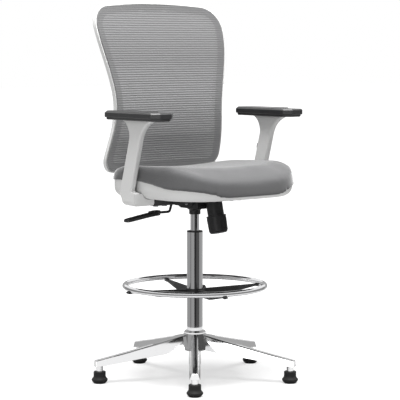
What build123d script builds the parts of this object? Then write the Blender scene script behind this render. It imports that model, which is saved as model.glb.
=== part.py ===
"""Drafting chair: one STEP file for each separate piece.

Millimetres. The column's axis is Z, the floor is z = 0, the sitter faces -Y
and +X is at the sitter's left hand.
"""
import os
from math import atan2, cos, degrees, hypot, pi, radians, sin, sqrt, tan

from build123d import *

# ---------------------------------------------------------------- driving sizes
# fits
RUN = 0.05  # radial clearance of shafts and pins that turn or slide
AIR = 0.3  # clearance of guided flats and of soft pieces
FABRIC = 2.0  # thickness of the stretched mesh

# five-leg base and glides
LEG_COUNT = 5
LEG_TURN = 230.0  # direction of the first leg, seen from above, from +X
FOOT_RADIUS = 311.0
HUB_R = 34.5
HUB_BOTTOM = 87.0
HUB_TOP = 150.0
LEG_ROOT_TOP = 139.0
LEG_ROOT_BOTTOM = 92.0
LEG_TIP_TOP = 71.0
LEG_TIP_DEPTH = 19.0
LEG_ROOT_TOP_W = 21.0
LEG_ROOT_LOW_W = 37.0
LEG_TIP_TOP_W = 19.0
LEG_TIP_LOW_W = 32.0
LEG_SHOULDER = 8.0  # rounding of the crest where it turns down at the tip
LEG_END = 15.0  # leg beyond the glide's axis
POST_R = 10.5
LEG_WALL = 3.5
LEG_RIBS = 3
RIB_T = 2.5
GLIDE_R = 25.0
GLIDE_FOOT_R = 18.0
GLIDE_CUP_R = 19.0
GLIDE_H = 37.0
STEM_R = 5.5
STEM_GRIP = 22.0

# column
TUBE_R = 25.0
TUBE_WALL = 2.0
TUBE_TOP = 462.0
NOSE_R = 19.0
NOSE_BOTTOM = 40.0
NOSE_FLOOR = 3.0
BUSH_LENGTH = 82.0
BUSH_LIP = 4.0
PRESS_R = 14.0
PRESS_WALL = 2.0
PRESS_BOTTOM = 92.0
PRESS_TOP = 552.0
TAPER_START = 520.0
TAPER_R = 13.0
ROD_R = 5.0
ROD_FOOT_R = 4.0
STROKE_UP = 200.0
VALVE_R = 4.0
VALVE_RISE = 4.0

# foot ring
RING_R = 228.5  # outer radius
RING_TUBE_R = 9.0
RING_WALL = 1.6
RING_Z = 292.5
SPIDER_BOTTOM = 261.0
SPIDER_H = 22.0
SPIDER_R = 31.0
LINER_WALL = 2.0
SPOKE_COUNT = 4
SPOKE_TURN = -15.6
SPOKE_W = 14.0
SPOKE_TIP_W = 10.0
SPOKE_TIP_DEPTH = 7.0
SPOKE_BELLY = 0.55  # share of the ring's radius over which a blade keeps its full depth
RING_SCREW_R = 3.0
RING_KNOB_R = 15.0
RING_KNOB_IN = 52.0
RING_KNOB_OUT = 73.0

# tilt mechanism
NECK_R = 18.0
NECK_BOTTOM = 518.0
HOUSING_HALF = 45.0
HOUSING_REAR = 48.0
HOUSING_FRONT = -66.0
HOUSING_FLOOR = 540.0
HOUSING_STEP = 545.5
HOUSING_WALL = 4.0
AXLE_Y = -20.0
AXLE_Z = 560.0
AXLE_R = 5.0
PLATE_BOTTOM = 577.0
PLATE_T = 3.0
PLATE_HALF = 76.0
PLATE_FRONT = -112.0
PLATE_REAR = 112.0
TILT_MAX = 12.0
KNOB_SLANT = 14.0
KNOB_Y = -90.0
COVER_R = 25.5
COVER_WALL = 3.5
KNOB_R = 31.0
KNOB_BOTTOM_R = 29.5
KNOB_START = 51.0
KNOB_LENGTH = 54.0
KNOB_RIBS = 16
BOLT_R = 5.0
BARREL_R = 6.0
BARREL_HALF = 17.0
PIVOT_PLAY = 0.6
SPRING_R = 18.0
SPRING_WIRE_R = 2.5
SPRING_TURNS = 5.0

# lever
LEVER_Y = 30.0
LEVER_Z = 557.0
LEVER_PIVOT_X = -36.0
LEVER_R = 4.0
ACTUATOR_HALF = 9.0
TRUNNION_R = 3.5
TRUNNION_T = 4.0
LEVER_OUT_X = -68.0
LEVER_DROP = 29.0
PADDLE_IN_X = -121.0
PADDLE_OUT_X = -252.0
PADDLE_W = 30.0
PADDLE_T = 15.0
PADDLE_SLOPE = 8.0  # degrees, falling outwards

# seat
SEAT_HALF = 250.0
SEAT_FRONT = -282.0
SEAT_REAR = 155.0
SEAT_CORNER_FRONT = 150.0
SEAT_CORNER_REAR = 80.0
SEAT_TOP = 686.0
SEAT_FRONT_BOW = 30.0
SEAT_REAR_BOW = 15.0
SEAT_DISH = 10.0  # hollow along the middle of the top
SEAT_EDGE = 26.0  # rounding of the cushion's upper edge
SHELL_INSET = 5.0
SHELL_WALL = 3.0
SHELL_CORNER = 30.0
RIM_Z = 632.0
RIM_FRONT_Z = 589.0
PAN_T = 12.0
PAN_INSET = 36.0

# arms
ARM_X = 265.0
UPRIGHT_W = 53.0
UPRIGHT_T = 20.0
UPRIGHT_LEAN = 15.8
SEAM_RISE = 49.0  # from the underside of the strut to the sleeve's seam
SEAM_Y = 2.0
POST_W = 34.0
POST_T = 8.0
POST_TOP = 776.0
ARM_RISE = 70.0
ARM_TOP = 821.0
FLARE_W = 138.0
PAD_L = 265.0
PAD_W = 85.0
PAD_Y = -52.0
PAD_TOP = 848.0
PAD_BASE_T = 7.0
PAD_STEP = 2.5
BUTTON_Z = 717.0
BUTTON_W = 11.0
BUTTON_H = 15.0
BUTTON_TRAVEL = 3.0
BRACKET_IN_X = 198.0
STRUT_H = 20.0
STRUT_W = 56.0
STRUT_IN_X = 61.0
STRUT_OUT_X = 194.0
STRUT_Y = -16.0

# back
BACK_BOTTOM = 646.0
BACK_TOP = 1181.0
BACK_CROWN = 15.0  # rise of the middle over the shoulders
BACK_BOTTOM_HALF = 230.0
BACK_WAIST_HALF = 217.0
BACK_TOP_HALF = 256.0
WAIST_Z = 850.0
LUMBAR_Y = 112.0
BACK_TOP_Y = 194.0
BACK_BOTTOM_Y = 160.0
BACK_HOLLOW = 28.0  # how far the middle lies behind the edges
BACK_T = 14.0
BACK_BORDER = 27.0
BACK_RIM = 5.0  # frame left bare outside the mesh
CROSS_TOP = 762.0
BAR_W = 52.0
BAR_T = 8.0
BAR_START = 58.0
BAR_TOP = 744.0
BAR_BEND = 36.0

# ---------------------------------------------------------------- derived sizes
BUSH_LIP_TOP = TUBE_TOP + BUSH_LIP
TUBE_BORE = TUBE_R - TUBE_WALL
CONE_TOP = HUB_BOTTOM + 17
CONE_BOTTOM = HUB_BOTTOM + 7
BEARING_Z = NOSE_BOTTOM + NOSE_FLOOR
RACE_T = 2.5
BALL_R = 2.5
BUMPER_H = 16.0
SEAL_H = 16.0
PISTON_Z = PRESS_BOTTOM + STROKE_UP + SEAL_H + 10
PLATE_TOP = PLATE_BOTTOM + PLATE_T
STRUT_BOTTOM = PLATE_BOTTOM - STRUT_H
BRACKET_BOTTOM = STRUT_BOTTOM + 5
SEAM_Z = STRUT_BOTTOM + SEAM_RISE
SHELL_BOTTOM = PLATE_TOP
PAN_BOTTOM = SHELL_BOTTOM + SHELL_WALL
PAN_TOP = PAN_BOTTOM + PAN_T
LEAN = radians(UPRIGHT_LEAN)
SLANT = radians(KNOB_SLANT)
KNOB_ARM = AXLE_Y - KNOB_Y
BARREL_Z = AXLE_Z + KNOB_ARM * tan(radians(KNOB_SLANT - TILT_MAX / 2))
FLANGE_IN = HOUSING_HALF + 2
FLANGE_OUT = FLANGE_IN + PLATE_T

os.makedirs("parts", exist_ok=True)


# ---------------------------------------------------------------- helpers
def disc(radius, z0, z1, x=0.0, y=0.0):
    """Upright round bar between two heights."""
    return Pos(x, y, (z0 + z1) / 2) * Cylinder(radius, z1 - z0)


def pipe(outer, inner, z0, z1, x=0.0, y=0.0):
    return disc(outer, z0, z1, x, y) - disc(inner, z0 - 1, z1 + 1, x, y)


def block(x0, x1, y0, y1, z0, z1):
    middle = Pos((x0 + x1) / 2, (y0 + y1) / 2, (z0 + z1) / 2)
    return middle * Box(x1 - x0, y1 - y0, z1 - z0)


def outline(points):
    """Closed straight-sided face in the sketch plane."""
    return make_face(Polyline(*points, close=True))


def turned(points):
    """Solid turned about Z from a closed profile of (radius, height)."""
    return revolve(Plane.XZ * outline(points), Axis.Z)


def across(face, x0, x1):
    """A (y, z) profile carried from x0 to x1."""
    return Pos(x0, 0, 0) * extrude(Plane.YZ * face, x1 - x0)


def along(face, y0, y1):
    """An (x, z) profile carried from y0 to y1."""
    return Pos(0, y1, 0) * extrude(Plane.XZ * face, y1 - y0)


def pin_x(radius, x0, x1, y, z):
    """Round bar lying along X."""
    return Pos((x0 + x1) / 2, y, z) * Rot(0, 90, 0) * Cylinder(radius, x1 - x0)


def pin_y(radius, y0, y1, x, z):
    return Pos(x, (y0 + y1) / 2, z) * Rot(90, 0, 0) * Cylinder(radius, y1 - y0)


def hexagon(flats, z0, z1, x=0.0, y=0.0):
    """Bolt head standing on z0."""
    head = extrude(RegularPolygon(flats / sqrt(3), 6), z1 - z0)
    return Pos(x, y, z0) * head


def mirrored(shape):
    return mirror(shape, Plane.YZ)


def save(name, *solids):
    shape = solids[0] if len(solids) == 1 else Compound(children=list(solids))
    shape.label = name
    export_step(shape, f"parts/{name}.step")


def whole(shape):
    """The one solid of a boolean result."""
    return max(shape.solids(), key=lambda s: s.volume)


# ---------------------------------------------------------------- base
def leg_crown(radius):
    """Height of the crest at a radius: almost straight, a little arched at the hub."""
    inner = HUB_R - 6
    share = (FOOT_RADIUS + LEG_END - radius) / (FOOT_RADIUS + LEG_END - inner)
    return LEG_TIP_TOP + (LEG_ROOT_TOP - LEG_TIP_TOP) * (0.9 * share + 0.1 * share ** 2)


def leg_floor(radius):
    """Height of the lower edge at a radius."""
    inner = HUB_R - 6
    share = (FOOT_RADIUS + LEG_END - radius) / (FOOT_RADIUS + LEG_END - inner)
    return LEG_TIP_TOP - LEG_TIP_DEPTH + (LEG_ROOT_BOTTOM - LEG_TIP_TOP + LEG_TIP_DEPTH) * share


def leg_section(radius, inset):
    """Drafted cross-section: narrow crest, wide foot. The inset one is open below."""
    share = (radius - HUB_R) / (FOOT_RADIUS + LEG_END - HUB_R)
    top = (LEG_ROOT_TOP_W + (LEG_TIP_TOP_W - LEG_ROOT_TOP_W) * share) / 2 - inset
    low = (LEG_ROOT_LOW_W + (LEG_TIP_LOW_W - LEG_ROOT_LOW_W) * share) / 2 - inset
    high = leg_crown(radius) - inset
    floor = leg_floor(radius) - inset
    corners = Polyline((radius, -low, floor), (radius, -top, high), (radius, top, high),
                       (radius, low, floor), close=True)
    return make_face(corners)


def leg_body(start, stop, inset):
    steps = [start + (stop - start) * share for share in (0.0, 0.35, 0.7, 1.0)]
    return loft([leg_section(radius, inset) for radius in steps])


def base_leg():
    tip = FOOT_RADIUS + LEG_END
    body = leg_body(HUB_R - 6, tip, 0)
    crests = [e for e in body.edges() if e.length > FOOT_RADIUS / 2 and e.center().Z > leg_crown(tip / 2) - 20]
    body = fillet(crests, 5.0)
    nose = [e for e in body.edges() if e.center().X > tip - 0.5 and e.center().Z > LEG_TIP_TOP - 3]
    body = chamfer(nose, 2.0)
    post = disc(POST_R, GLIDE_H, leg_crown(FOOT_RADIUS) - LEG_SHOULDER, FOOT_RADIUS, 0)
    channel_end = FOOT_RADIUS - POST_R - LEG_WALL
    hollow = leg_body(HUB_R + 3, channel_end, LEG_WALL)
    ribs = []
    for number in range(LEG_RIBS):
        at = HUB_R + (channel_end - HUB_R) * (number + 1) / (LEG_RIBS + 1)
        ribs.append(block(at - RIB_T / 2, at + RIB_T / 2, -HUB_R, HUB_R, 0, HUB_TOP))
    body = body - hollow + post
    for rib in ribs:
        body = body + (rib & Pos(0, 0, LEG_WALL + 4) * hollow & hollow)
    return whole(body)


def base_star():
    hub = turned([
        (NOSE_R, HUB_BOTTOM), (HUB_R - 4, HUB_BOTTOM), (HUB_R, HUB_BOTTOM + 4),
        (HUB_R, HUB_TOP - 4), (HUB_R - 3, HUB_TOP), (TUBE_R, HUB_TOP),
        (TUBE_R, CONE_TOP), (NOSE_R, CONE_BOTTOM),
    ])
    socket = disc(STEM_R, GLIDE_H - 1, GLIDE_H + STEM_GRIP, FOOT_RADIUS, 0)
    leg = whole(base_leg() - socket)
    core = disc(HUB_R - 2, HUB_BOTTOM - 20, HUB_TOP + 20)
    spoke = whole(leg - core)
    star = hub
    for number in range(LEG_COUNT):
        star = star + Rot(0, 0, LEG_TURN + number * 360 / LEG_COUNT) * spoke
    return whole(star)


def glide():
    """Bell foot with a cup on top; the stem is a separate steel pin."""
    bell = Spline(
        (GLIDE_FOOT_R + 1.5, 2.0),
        (GLIDE_R, GLIDE_H * 0.33),
        (GLIDE_CUP_R, GLIDE_H * 0.6),
        tangents=[(1, 0.9), (-0.2, 1)],
    )
    section = make_face([
        Polyline((STEM_R, GLIDE_H * 0.35), (0, GLIDE_H * 0.35), (0, 0), (GLIDE_FOOT_R, 0),
                 (GLIDE_FOOT_R + 1.5, 2.0)),
        bell,
        Polyline((GLIDE_CUP_R, GLIDE_H * 0.6), (GLIDE_CUP_R, GLIDE_H - 1.5),
                 (GLIDE_CUP_R - 1.5, GLIDE_H), (STEM_R, GLIDE_H), (STEM_R, GLIDE_H * 0.35)),
    ])
    return revolve(Plane.XZ * section, Axis.Z)


def around(shape, count, start):
    return [Rot(0, 0, start + number * 360 / count) * shape for number in range(count)]


save("base_star", base_star())
save("glides", *around(Pos(FOOT_RADIUS, 0, 0) * glide(), LEG_COUNT, LEG_TURN))
stem = disc(STEM_R, GLIDE_H * 0.35, GLIDE_H + STEM_GRIP - 2, FOOT_RADIUS, 0)
stem = chamfer(stem.edges().group_by(Axis.Z)[-1], 1.2)
save("glide_stems", *around(stem, LEG_COUNT, LEG_TURN))

# ---------------------------------------------------------------- column
save("column_tube", turned([
    (TUBE_BORE, TUBE_TOP), (TUBE_R, TUBE_TOP), (TUBE_R, CONE_TOP), (NOSE_R, CONE_BOTTOM),
    (NOSE_R, NOSE_BOTTOM + 2), (NOSE_R - 2, NOSE_BOTTOM), (ROD_FOOT_R + RUN, NOSE_BOTTOM),
    (ROD_FOOT_R + RUN, BEARING_Z), (NOSE_R - TUBE_WALL, BEARING_Z),
    (NOSE_R - TUBE_WALL, CONE_BOTTOM + 1), (TUBE_BORE, CONE_TOP + 1),
]))
save("guide_bush", turned([
    (PRESS_R + RUN, TUBE_TOP - BUSH_LENGTH), (TUBE_BORE, TUBE_TOP - BUSH_LENGTH),
    (TUBE_BORE, TUBE_TOP), (TUBE_R, TUBE_TOP), (TUBE_R, BUSH_LIP_TOP - 1),
    (TUBE_R - 1, BUSH_LIP_TOP), (PRESS_R + RUN, BUSH_LIP_TOP),
]))
RACE_OUT = NOSE_R - TUBE_WALL
BALLS_Z = BEARING_Z + RACE_T
UPPER_RACE_Z = BALLS_Z + 2 * BALL_R
BUMPER_Z = UPPER_RACE_Z + RACE_T
save("bearing_race_lower", pipe(RACE_OUT, ROD_R + 1, BEARING_Z, BALLS_Z))
save("bearing_race_upper", pipe(RACE_OUT - 1, ROD_FOOT_R, UPPER_RACE_Z, BUMPER_Z))
ball = Pos(RACE_OUT - 5, 0, BALLS_Z + BALL_R) * Sphere(BALL_R)
save("bearing_balls", *around(ball, 10, 0))
save("bump_rubber", pipe(RACE_OUT - 4, ROD_R, BUMPER_Z, BUMPER_Z + BUMPER_H))
CLIP_Z = NOSE_BOTTOM - 0.2
rod = turned([
    (0, NOSE_BOTTOM - 7), (ROD_FOOT_R - 1, NOSE_BOTTOM - 7), (ROD_FOOT_R, NOSE_BOTTOM - 6),
    (ROD_FOOT_R, CLIP_Z - 1.5), (ROD_FOOT_R - 1, CLIP_Z - 1.5), (ROD_FOOT_R - 1, CLIP_Z),
    (ROD_FOOT_R, CLIP_Z), (ROD_FOOT_R, BUMPER_Z), (ROD_R, BUMPER_Z),
    (ROD_R, PISTON_Z + 20), (ROD_R - 1, PISTON_Z + 21), (0, PISTON_Z + 21),
])
save("piston_rod", rod)
save("rod_clip", pipe(ROD_FOOT_R + 5, ROD_FOOT_R - 1, CLIP_Z - 1.5, CLIP_Z)
     - block(-1.5, 1.5, 0, 20, 0, NOSE_BOTTOM))
PRESS_BORE = PRESS_R - PRESS_WALL
save("piston", turned([
    (ROD_R, PISTON_Z), (PRESS_BORE - RUN, PISTON_Z), (PRESS_BORE - RUN, PISTON_Z + 6),
    (PRESS_BORE - 2, PISTON_Z + 6), (PRESS_BORE - 2, PISTON_Z + 9),
    (PRESS_BORE - RUN, PISTON_Z + 9), (PRESS_BORE - RUN, PISTON_Z + 15), (ROD_R, PISTON_Z + 15),
]))
save("pressure_tube", turned([
    (PRESS_BORE, PRESS_BOTTOM), (PRESS_R, PRESS_BOTTOM), (PRESS_R, TAPER_START),
    (TAPER_R, PRESS_TOP), (VALVE_R + RUN, PRESS_TOP), (VALVE_R + RUN, PRESS_TOP - 14),
    (PRESS_BORE, PRESS_TOP - 14),
]))
save("tube_seal", pipe(PRESS_BORE, ROD_R + RUN, PRESS_BOTTOM, PRESS_BOTTOM + SEAL_H))
VALVE_TOP = PRESS_TOP + VALVE_RISE
save("valve_pin", chamfer(
    disc(VALVE_R, PRESS_TOP - 11, VALVE_TOP).edges().group_by(Axis.Z)[-1], 0.8))

# ---------------------------------------------------------------- foot ring
LINER_R = TUBE_R + RUN + LINER_WALL
SPIDER_TOP = SPIDER_BOTTOM + SPIDER_H
RING_MID = RING_R - RING_TUBE_R
save("ring_liner", turned([
    (TUBE_R + RUN, SPIDER_BOTTOM - 2), (LINER_R + 2, SPIDER_BOTTOM - 2),
    (LINER_R + 2, SPIDER_BOTTOM - RUN), (LINER_R, SPIDER_BOTTOM - RUN),
    (LINER_R, SPIDER_TOP + 1), (TUBE_R + RUN, SPIDER_TOP + 1),
]))


def spoke_blade():
    """Deep blade that thins towards the ring, runs under it and ends just past it."""
    seat_z = RING_Z - RING_TUBE_R + 2.5
    end = RING_R + 3
    side = outline([
        (LINER_R + 2, SPIDER_BOTTOM + 1), (LINER_R + 2, SPIDER_TOP - 1),
        (RING_MID - 14, seat_z), (end - 2, seat_z), (end, seat_z - 2),
        (end, seat_z - SPOKE_TIP_DEPTH + 1), (end - 2, seat_z - SPOKE_TIP_DEPTH),
        (RING_MID - 10, seat_z - SPOKE_TIP_DEPTH), (RING_MID * SPOKE_BELLY, SPIDER_BOTTOM + 1),
    ])
    plan = outline([
        (0, -SPOKE_W / 2), (end, -SPOKE_TIP_W / 2), (end, SPOKE_TIP_W / 2), (0, SPOKE_W / 2),
    ])
    blade = along(side, -SPOKE_W, SPOKE_W) & extrude(plan, RING_Z + RING_R)
    blade = whole(blade)
    long_edges = [e for e in blade.edges() if e.length > RING_MID / 2 and e.center().Z > SPIDER_BOTTOM + SPIDER_H / 2]
    blade = fillet(long_edges, 1.8)
    return blade


def hoop_of(radius):
    """Round bar bent into the foot ring's circle; its section is drawn on -X."""
    return revolve(Plane.XZ * Pos(-RING_MID, RING_Z) * Circle(radius), Axis.Z)


ring = hoop_of(RING_TUBE_R)
SCREW_TOP = RING_Z - RING_TUBE_R + RING_WALL + 3
SCREW_Z = RING_Z - RING_TUBE_R + 2.5 - SPOKE_TIP_DEPTH
screw_hole = disc(RING_SCREW_R, SCREW_Z - 1, SCREW_TOP, RING_MID, 0)
spider = turned([
    (LINER_R + RUN, SPIDER_BOTTOM), (SPIDER_R - 2, SPIDER_BOTTOM), (SPIDER_R, SPIDER_BOTTOM + 2),
    (SPIDER_R, SPIDER_TOP - 2), (SPIDER_R - 2, SPIDER_TOP), (LINER_R + RUN, SPIDER_TOP),
])
RING_KNOB_TURN = SPOKE_TURN + 180 / SPOKE_COUNT
BOSS_Z = (SPIDER_BOTTOM + SPIDER_TOP) / 2
boss = Rot(0, 0, RING_KNOB_TURN) * pin_x(8, LINER_R + 2, SPIDER_R + 9, 0, BOSS_Z)
spider = spider + boss
for blade in around(spoke_blade(), SPOKE_COUNT, SPOKE_TURN):
    spider = spider + blade
spider = spider - ring
for hole in around(screw_hole, SPOKE_COUNT, SPOKE_TURN):
    spider = spider - hole
stud_axis = Rot(0, 0, RING_KNOB_TURN)
spider = spider - stud_axis * pin_x(RING_SCREW_R + 1 + RUN, 0, RING_KNOB_OUT, 0, BOSS_Z)
save("ring_spider", whole(spider))
hoop = ring - hoop_of(RING_TUBE_R - RING_WALL)
for hole in around(screw_hole, SPOKE_COUNT, SPOKE_TURN):
    hoop = hoop - hole
save("foot_ring", hoop)
ring_screw = disc(RING_SCREW_R, SCREW_Z, SCREW_TOP, RING_MID, 0)
ring_screw = ring_screw + disc(RING_SCREW_R + 1.8, SCREW_Z - 2, SCREW_Z, RING_MID, 0)
ring_screw = ring_screw - hexagon(4, SCREW_Z - 4, SCREW_Z - 1.5, RING_MID, 0)
save("ring_screws", *around(ring_screw, SPOKE_COUNT, SPOKE_TURN))
save("ring_knob_stud", stud_axis * pin_x(
    RING_SCREW_R + 1, LINER_R + RUN, RING_KNOB_OUT - 8, 0, BOSS_Z))


def lobed_grip(radius, length, lobes, depth, edge):
    """Hand knob on z: a round grip with finger flutes cut along it."""
    grip = Pos(0, 0, length / 2) * Cylinder(radius, length)
    grip = chamfer(grip.edges().filter_by(GeomType.CIRCLE), edge)
    flute_r = radius * pi / lobes * 0.6
    for number in range(lobes):
        cutter = Pos(radius + flute_r - depth, 0, length / 2) * Cylinder(flute_r, length + 2)
        grip = grip - Rot(0, 0, number * 360 / lobes) * cutter
    return grip


knob = lobed_grip(RING_KNOB_R, RING_KNOB_OUT - RING_KNOB_IN, 6, 2.4, 2.5)
knob = knob + Pos(0, 0, -4) * Cylinder(RING_KNOB_R * 0.5, 8)
knob = Pos(RING_KNOB_IN, 0, BOSS_Z) * Rot(0, 90, 0) * knob
knob = knob - pin_x(RING_SCREW_R + 1, 0, RING_KNOB_OUT - 8, 0, BOSS_Z)
save("ring_knob", stud_axis * knob)

# ---------------------------------------------------------------- tilt mechanism
# frame of the tension knob: its z runs down the slanted bolt from the barrel nut
KNOB_FRAME = Plane(
    origin=(0, KNOB_Y, BARREL_Z), x_dir=(1, 0, 0), z_dir=(0, -sin(SLANT), -cos(SLANT))
)
KNOB_END = KNOB_START + KNOB_LENGTH
COVER_END = KNOB_START + 6
COVER_ROOF = (BARREL_Z - HOUSING_FLOOR) / cos(SLANT) + COVER_R * tan(SLANT) + COVER_WALL


def down_bolt(radius, s0, s1):
    """Round bar on the slanted axis, between two distances below the barrel nut."""
    return KNOB_FRAME * Pos(0, 0, (s0 + s1) / 2) * Cylinder(radius, s1 - s0)


def housing():
    """Open tray with a socket for the column and a round nose over the spring."""
    wall = HOUSING_WALL
    half = HOUSING_HALF
    side = outline([
        (HOUSING_FRONT, HOUSING_FLOOR), (HOUSING_REAR - 32, HOUSING_FLOOR),
        (HOUSING_REAR - 22, HOUSING_STEP), (HOUSING_REAR, HOUSING_STEP),
        (HOUSING_REAR, HOUSING_STEP + 7), (AXLE_Y + 12, AXLE_Z + 11), (AXLE_Y - 12, AXLE_Z + 11),
        (HOUSING_FRONT, AXLE_Z + 4),
    ])
    tray = across(side, -half, half)
    tray = fillet(tray.edges().filter_by(Axis.Z), 5)
    nose_top = AXLE_Z + 4
    level = block(-200, 200, -300, 200, HOUSING_FLOOR, nose_top)
    nose = down_bolt(COVER_R, -30, 90) & level
    inside = outline([
        (HOUSING_FRONT + wall, HOUSING_FLOOR + wall), (HOUSING_REAR - 34, HOUSING_FLOOR + wall),
        (HOUSING_REAR - 24, HOUSING_STEP + wall - 1), (HOUSING_REAR - wall, HOUSING_STEP + wall - 1),
        (HOUSING_REAR - wall, PLATE_TOP), (HOUSING_FRONT + wall, PLATE_TOP),
    ])
    hollow = across(inside, -half + wall, half - wall)
    nose_hollow = down_bolt(COVER_R - wall, -30, 90) & block(
        -200, 200, -300, HOUSING_FRONT + 2 * wall, HOUSING_FLOOR + wall, PLATE_TOP)
    socket = turned([
        (0, NECK_BOTTOM), (NECK_R - 1, NECK_BOTTOM), (NECK_R, NECK_BOTTOM + 1),
        (NECK_R, HOUSING_FLOOR - 9), (NECK_R + 11, HOUSING_FLOOR), (NECK_R + 11, HOUSING_FLOOR + 3),
        (NECK_R, HOUSING_FLOOR + 8), (NECK_R, PRESS_TOP - 2), (0, PRESS_TOP - 2),
    ])
    taper = turned([
        (0, NECK_BOTTOM - 1), (PRESS_R, NECK_BOTTOM - 1), (PRESS_R, TAPER_START),
        (TAPER_R, PRESS_TOP), (0, PRESS_TOP),
    ])
    body = (tray + nose) - hollow - nose_hollow + socket - taper
    guide = down_bolt(BOLT_R + 4, -20, 90) & block(
        -200, 200, -300, 200, HOUSING_FLOOR, HOUSING_FLOOR + wall + 6)
    body = body + guide - down_bolt(BOLT_R + RUN, -30, 90)
    body = body - pin_x(AXLE_R, -half - 1, half + 1, AXLE_Y, AXLE_Z)
    body = body - pin_x(LEVER_R + 3, -half - 1, -half + wall + 1, LEVER_Y, LEVER_Z)
    for side_of in (-1, 1):
        near = LEVER_Y + side_of * (ACTUATOR_HALF + AIR)
        out = near + side_of * TRUNNION_T
        ear = block(-half + wall - 1, LEVER_PIVOT_X + TRUNNION_R + 2, min(near, out), max(near, out),
                    HOUSING_STEP + wall - 2, LEVER_Z + TRUNNION_R + 1.5)
        body = body + ear
    reach = ACTUATOR_HALF + AIR + TRUNNION_T + 1
    trunnions = pin_y(TRUNNION_R + RUN, LEVER_Y - reach, LEVER_Y + reach, LEVER_PIVOT_X, LEVER_Z)
    return whole(body - trunnions)


save("mechanism_housing", housing())
cover = down_bolt(COVER_R, 0, COVER_END) & block(-200, 200, -300, 200, 0, HOUSING_FLOOR)
cover = cover - down_bolt(COVER_R - COVER_WALL, COVER_ROOF, COVER_END + 1)
cover = cover - down_bolt(BOLT_R + RUN, -10, COVER_END)
save("spring_cover", whole(cover))
save("tilt_axle", pin_x(AXLE_R, -FLANGE_OUT - 5, FLANGE_OUT + 5, AXLE_Y, AXLE_Z))
CLIP_X = FLANGE_OUT + RUN
clip = pin_x(AXLE_R + 4, CLIP_X, CLIP_X + 2, AXLE_Y, AXLE_Z) - pin_x(
    AXLE_R, CLIP_X - 1, CLIP_X + 3, AXLE_Y, AXLE_Z)
save("axle_clips", clip, mirrored(clip))

bolt = down_bolt(BOLT_R, 0, KNOB_END - 8)
barrel = pin_x(BARREL_R, -BARREL_HALF, BARREL_HALF, KNOB_Y, BARREL_Z)
save("tension_bolt", bolt - barrel)
save("barrel_nut", barrel)


def tension_knob():
    """Cup that hides the spring: a rolled rim, grip ribs and a threaded floor."""
    rim = 3.0
    cup = KNOB_FRAME * Pos(0, 0, KNOB_START) * revolve(Plane.XZ * outline([
        (COVER_R + 1.6, 0), (KNOB_R - 0.8, 0), (KNOB_R, 0.8), (KNOB_R, rim),
        (KNOB_R - 1.2, rim + 1.2), (KNOB_BOTTOM_R - 1.2, KNOB_LENGTH - 4),
        (KNOB_BOTTOM_R - 5, KNOB_LENGTH), (BOLT_R, KNOB_LENGTH), (BOLT_R, KNOB_LENGTH - 12),
        (BOLT_R + 5, KNOB_LENGTH - 12), (BOLT_R + 7, KNOB_LENGTH - 5),
        (COVER_R, KNOB_LENGTH - 5), (COVER_R + 1.6, KNOB_LENGTH - 12),
    ]), Axis.Z)
    rib = KNOB_FRAME * Pos(KNOB_R - 2.1, 0, KNOB_START + KNOB_LENGTH / 2) * Rot(
        0, -degrees(atan2(KNOB_R - KNOB_BOTTOM_R, KNOB_LENGTH)), 0) * Box(2.2, 2.4, KNOB_LENGTH - 14)
    turn = Axis((0, KNOB_Y, BARREL_Z), (0, -sin(SLANT), -cos(SLANT)))
    for number in range(KNOB_RIBS):
        cup = cup + rib.rotate(turn, number * 360 / KNOB_RIBS)
    return whole(cup)


save("tension_knob", tension_knob())
SPRING_TOP = COVER_ROOF + 0.2
SPRING_END = KNOB_END - 5.2
coil_rise = SPRING_END - SPRING_TOP - 2 * SPRING_WIRE_R
coil = Helix(coil_rise / SPRING_TURNS, coil_rise, SPRING_R)
wire = sweep(Plane(coil @ 0, z_dir=coil % 0) * Circle(SPRING_WIRE_R), coil)
save("tension_spring", KNOB_FRAME * Pos(0, 0, SPRING_TOP + SPRING_WIRE_R) * wire)


def seat_plate():
    """Pressed steel plate: two flanges carry the axle, two ears carry the barrel nut."""
    plate = block(-PLATE_HALF, PLATE_HALF, PLATE_FRONT, PLATE_REAR, PLATE_BOTTOM, PLATE_TOP)
    plate = fillet(plate.edges().filter_by(Axis.Z), 14)
    flange = across(outline([
        (AXLE_Y - 38, PLATE_BOTTOM), (AXLE_Y - 26, AXLE_Z - 8), (AXLE_Y - 12, AXLE_Z - 12),
        (AXLE_Y + 28, AXLE_Z - 12), (AXLE_Y + 38, AXLE_Z - 4), (AXLE_Y + 39, PLATE_BOTTOM),
    ]), FLANGE_IN, FLANGE_OUT)
    flange = flange - pin_x(AXLE_R + RUN, FLANGE_IN - 1, FLANGE_OUT + 1, AXLE_Y, AXLE_Z)
    ear_in = BOLT_R + 6
    ear = across(outline([
        (KNOB_Y - 13, PLATE_BOTTOM), (KNOB_Y - 9, BARREL_Z - BARREL_R - 4),
        (KNOB_Y + 9, BARREL_Z - BARREL_R - 4), (KNOB_Y + 13, PLATE_BOTTOM),
    ]), ear_in, ear_in + PLATE_T)
    ear = ear - pin_x(BARREL_R + PIVOT_PLAY, 0, 40, KNOB_Y, BARREL_Z)
    plate = plate + flange + mirrored(flange) + ear + mirrored(ear)
    window = block(-ear_in, ear_in, KNOB_Y - 10, KNOB_Y + 10, PLATE_BOTTOM - 1, PLATE_TOP + 1)
    rear_cut = block(-24, 24, 8, BAR_START - 12, PLATE_BOTTOM - 1, PLATE_TOP + 1)
    return plate - window - fillet(rear_cut.edges().filter_by(Axis.Z), 8)


SEAT_SCREWS = [(x, y) for x in (-PLATE_HALF + 12, PLATE_HALF - 12)
               for y in (PLATE_FRONT + 20, PLATE_REAR - 18)]
SCREW_R = 3.0


def drilled(shape, places, radius, z0, z1):
    for x, y in places:
        shape = shape - disc(radius, z0, z1, x, y)
    return shape


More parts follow.
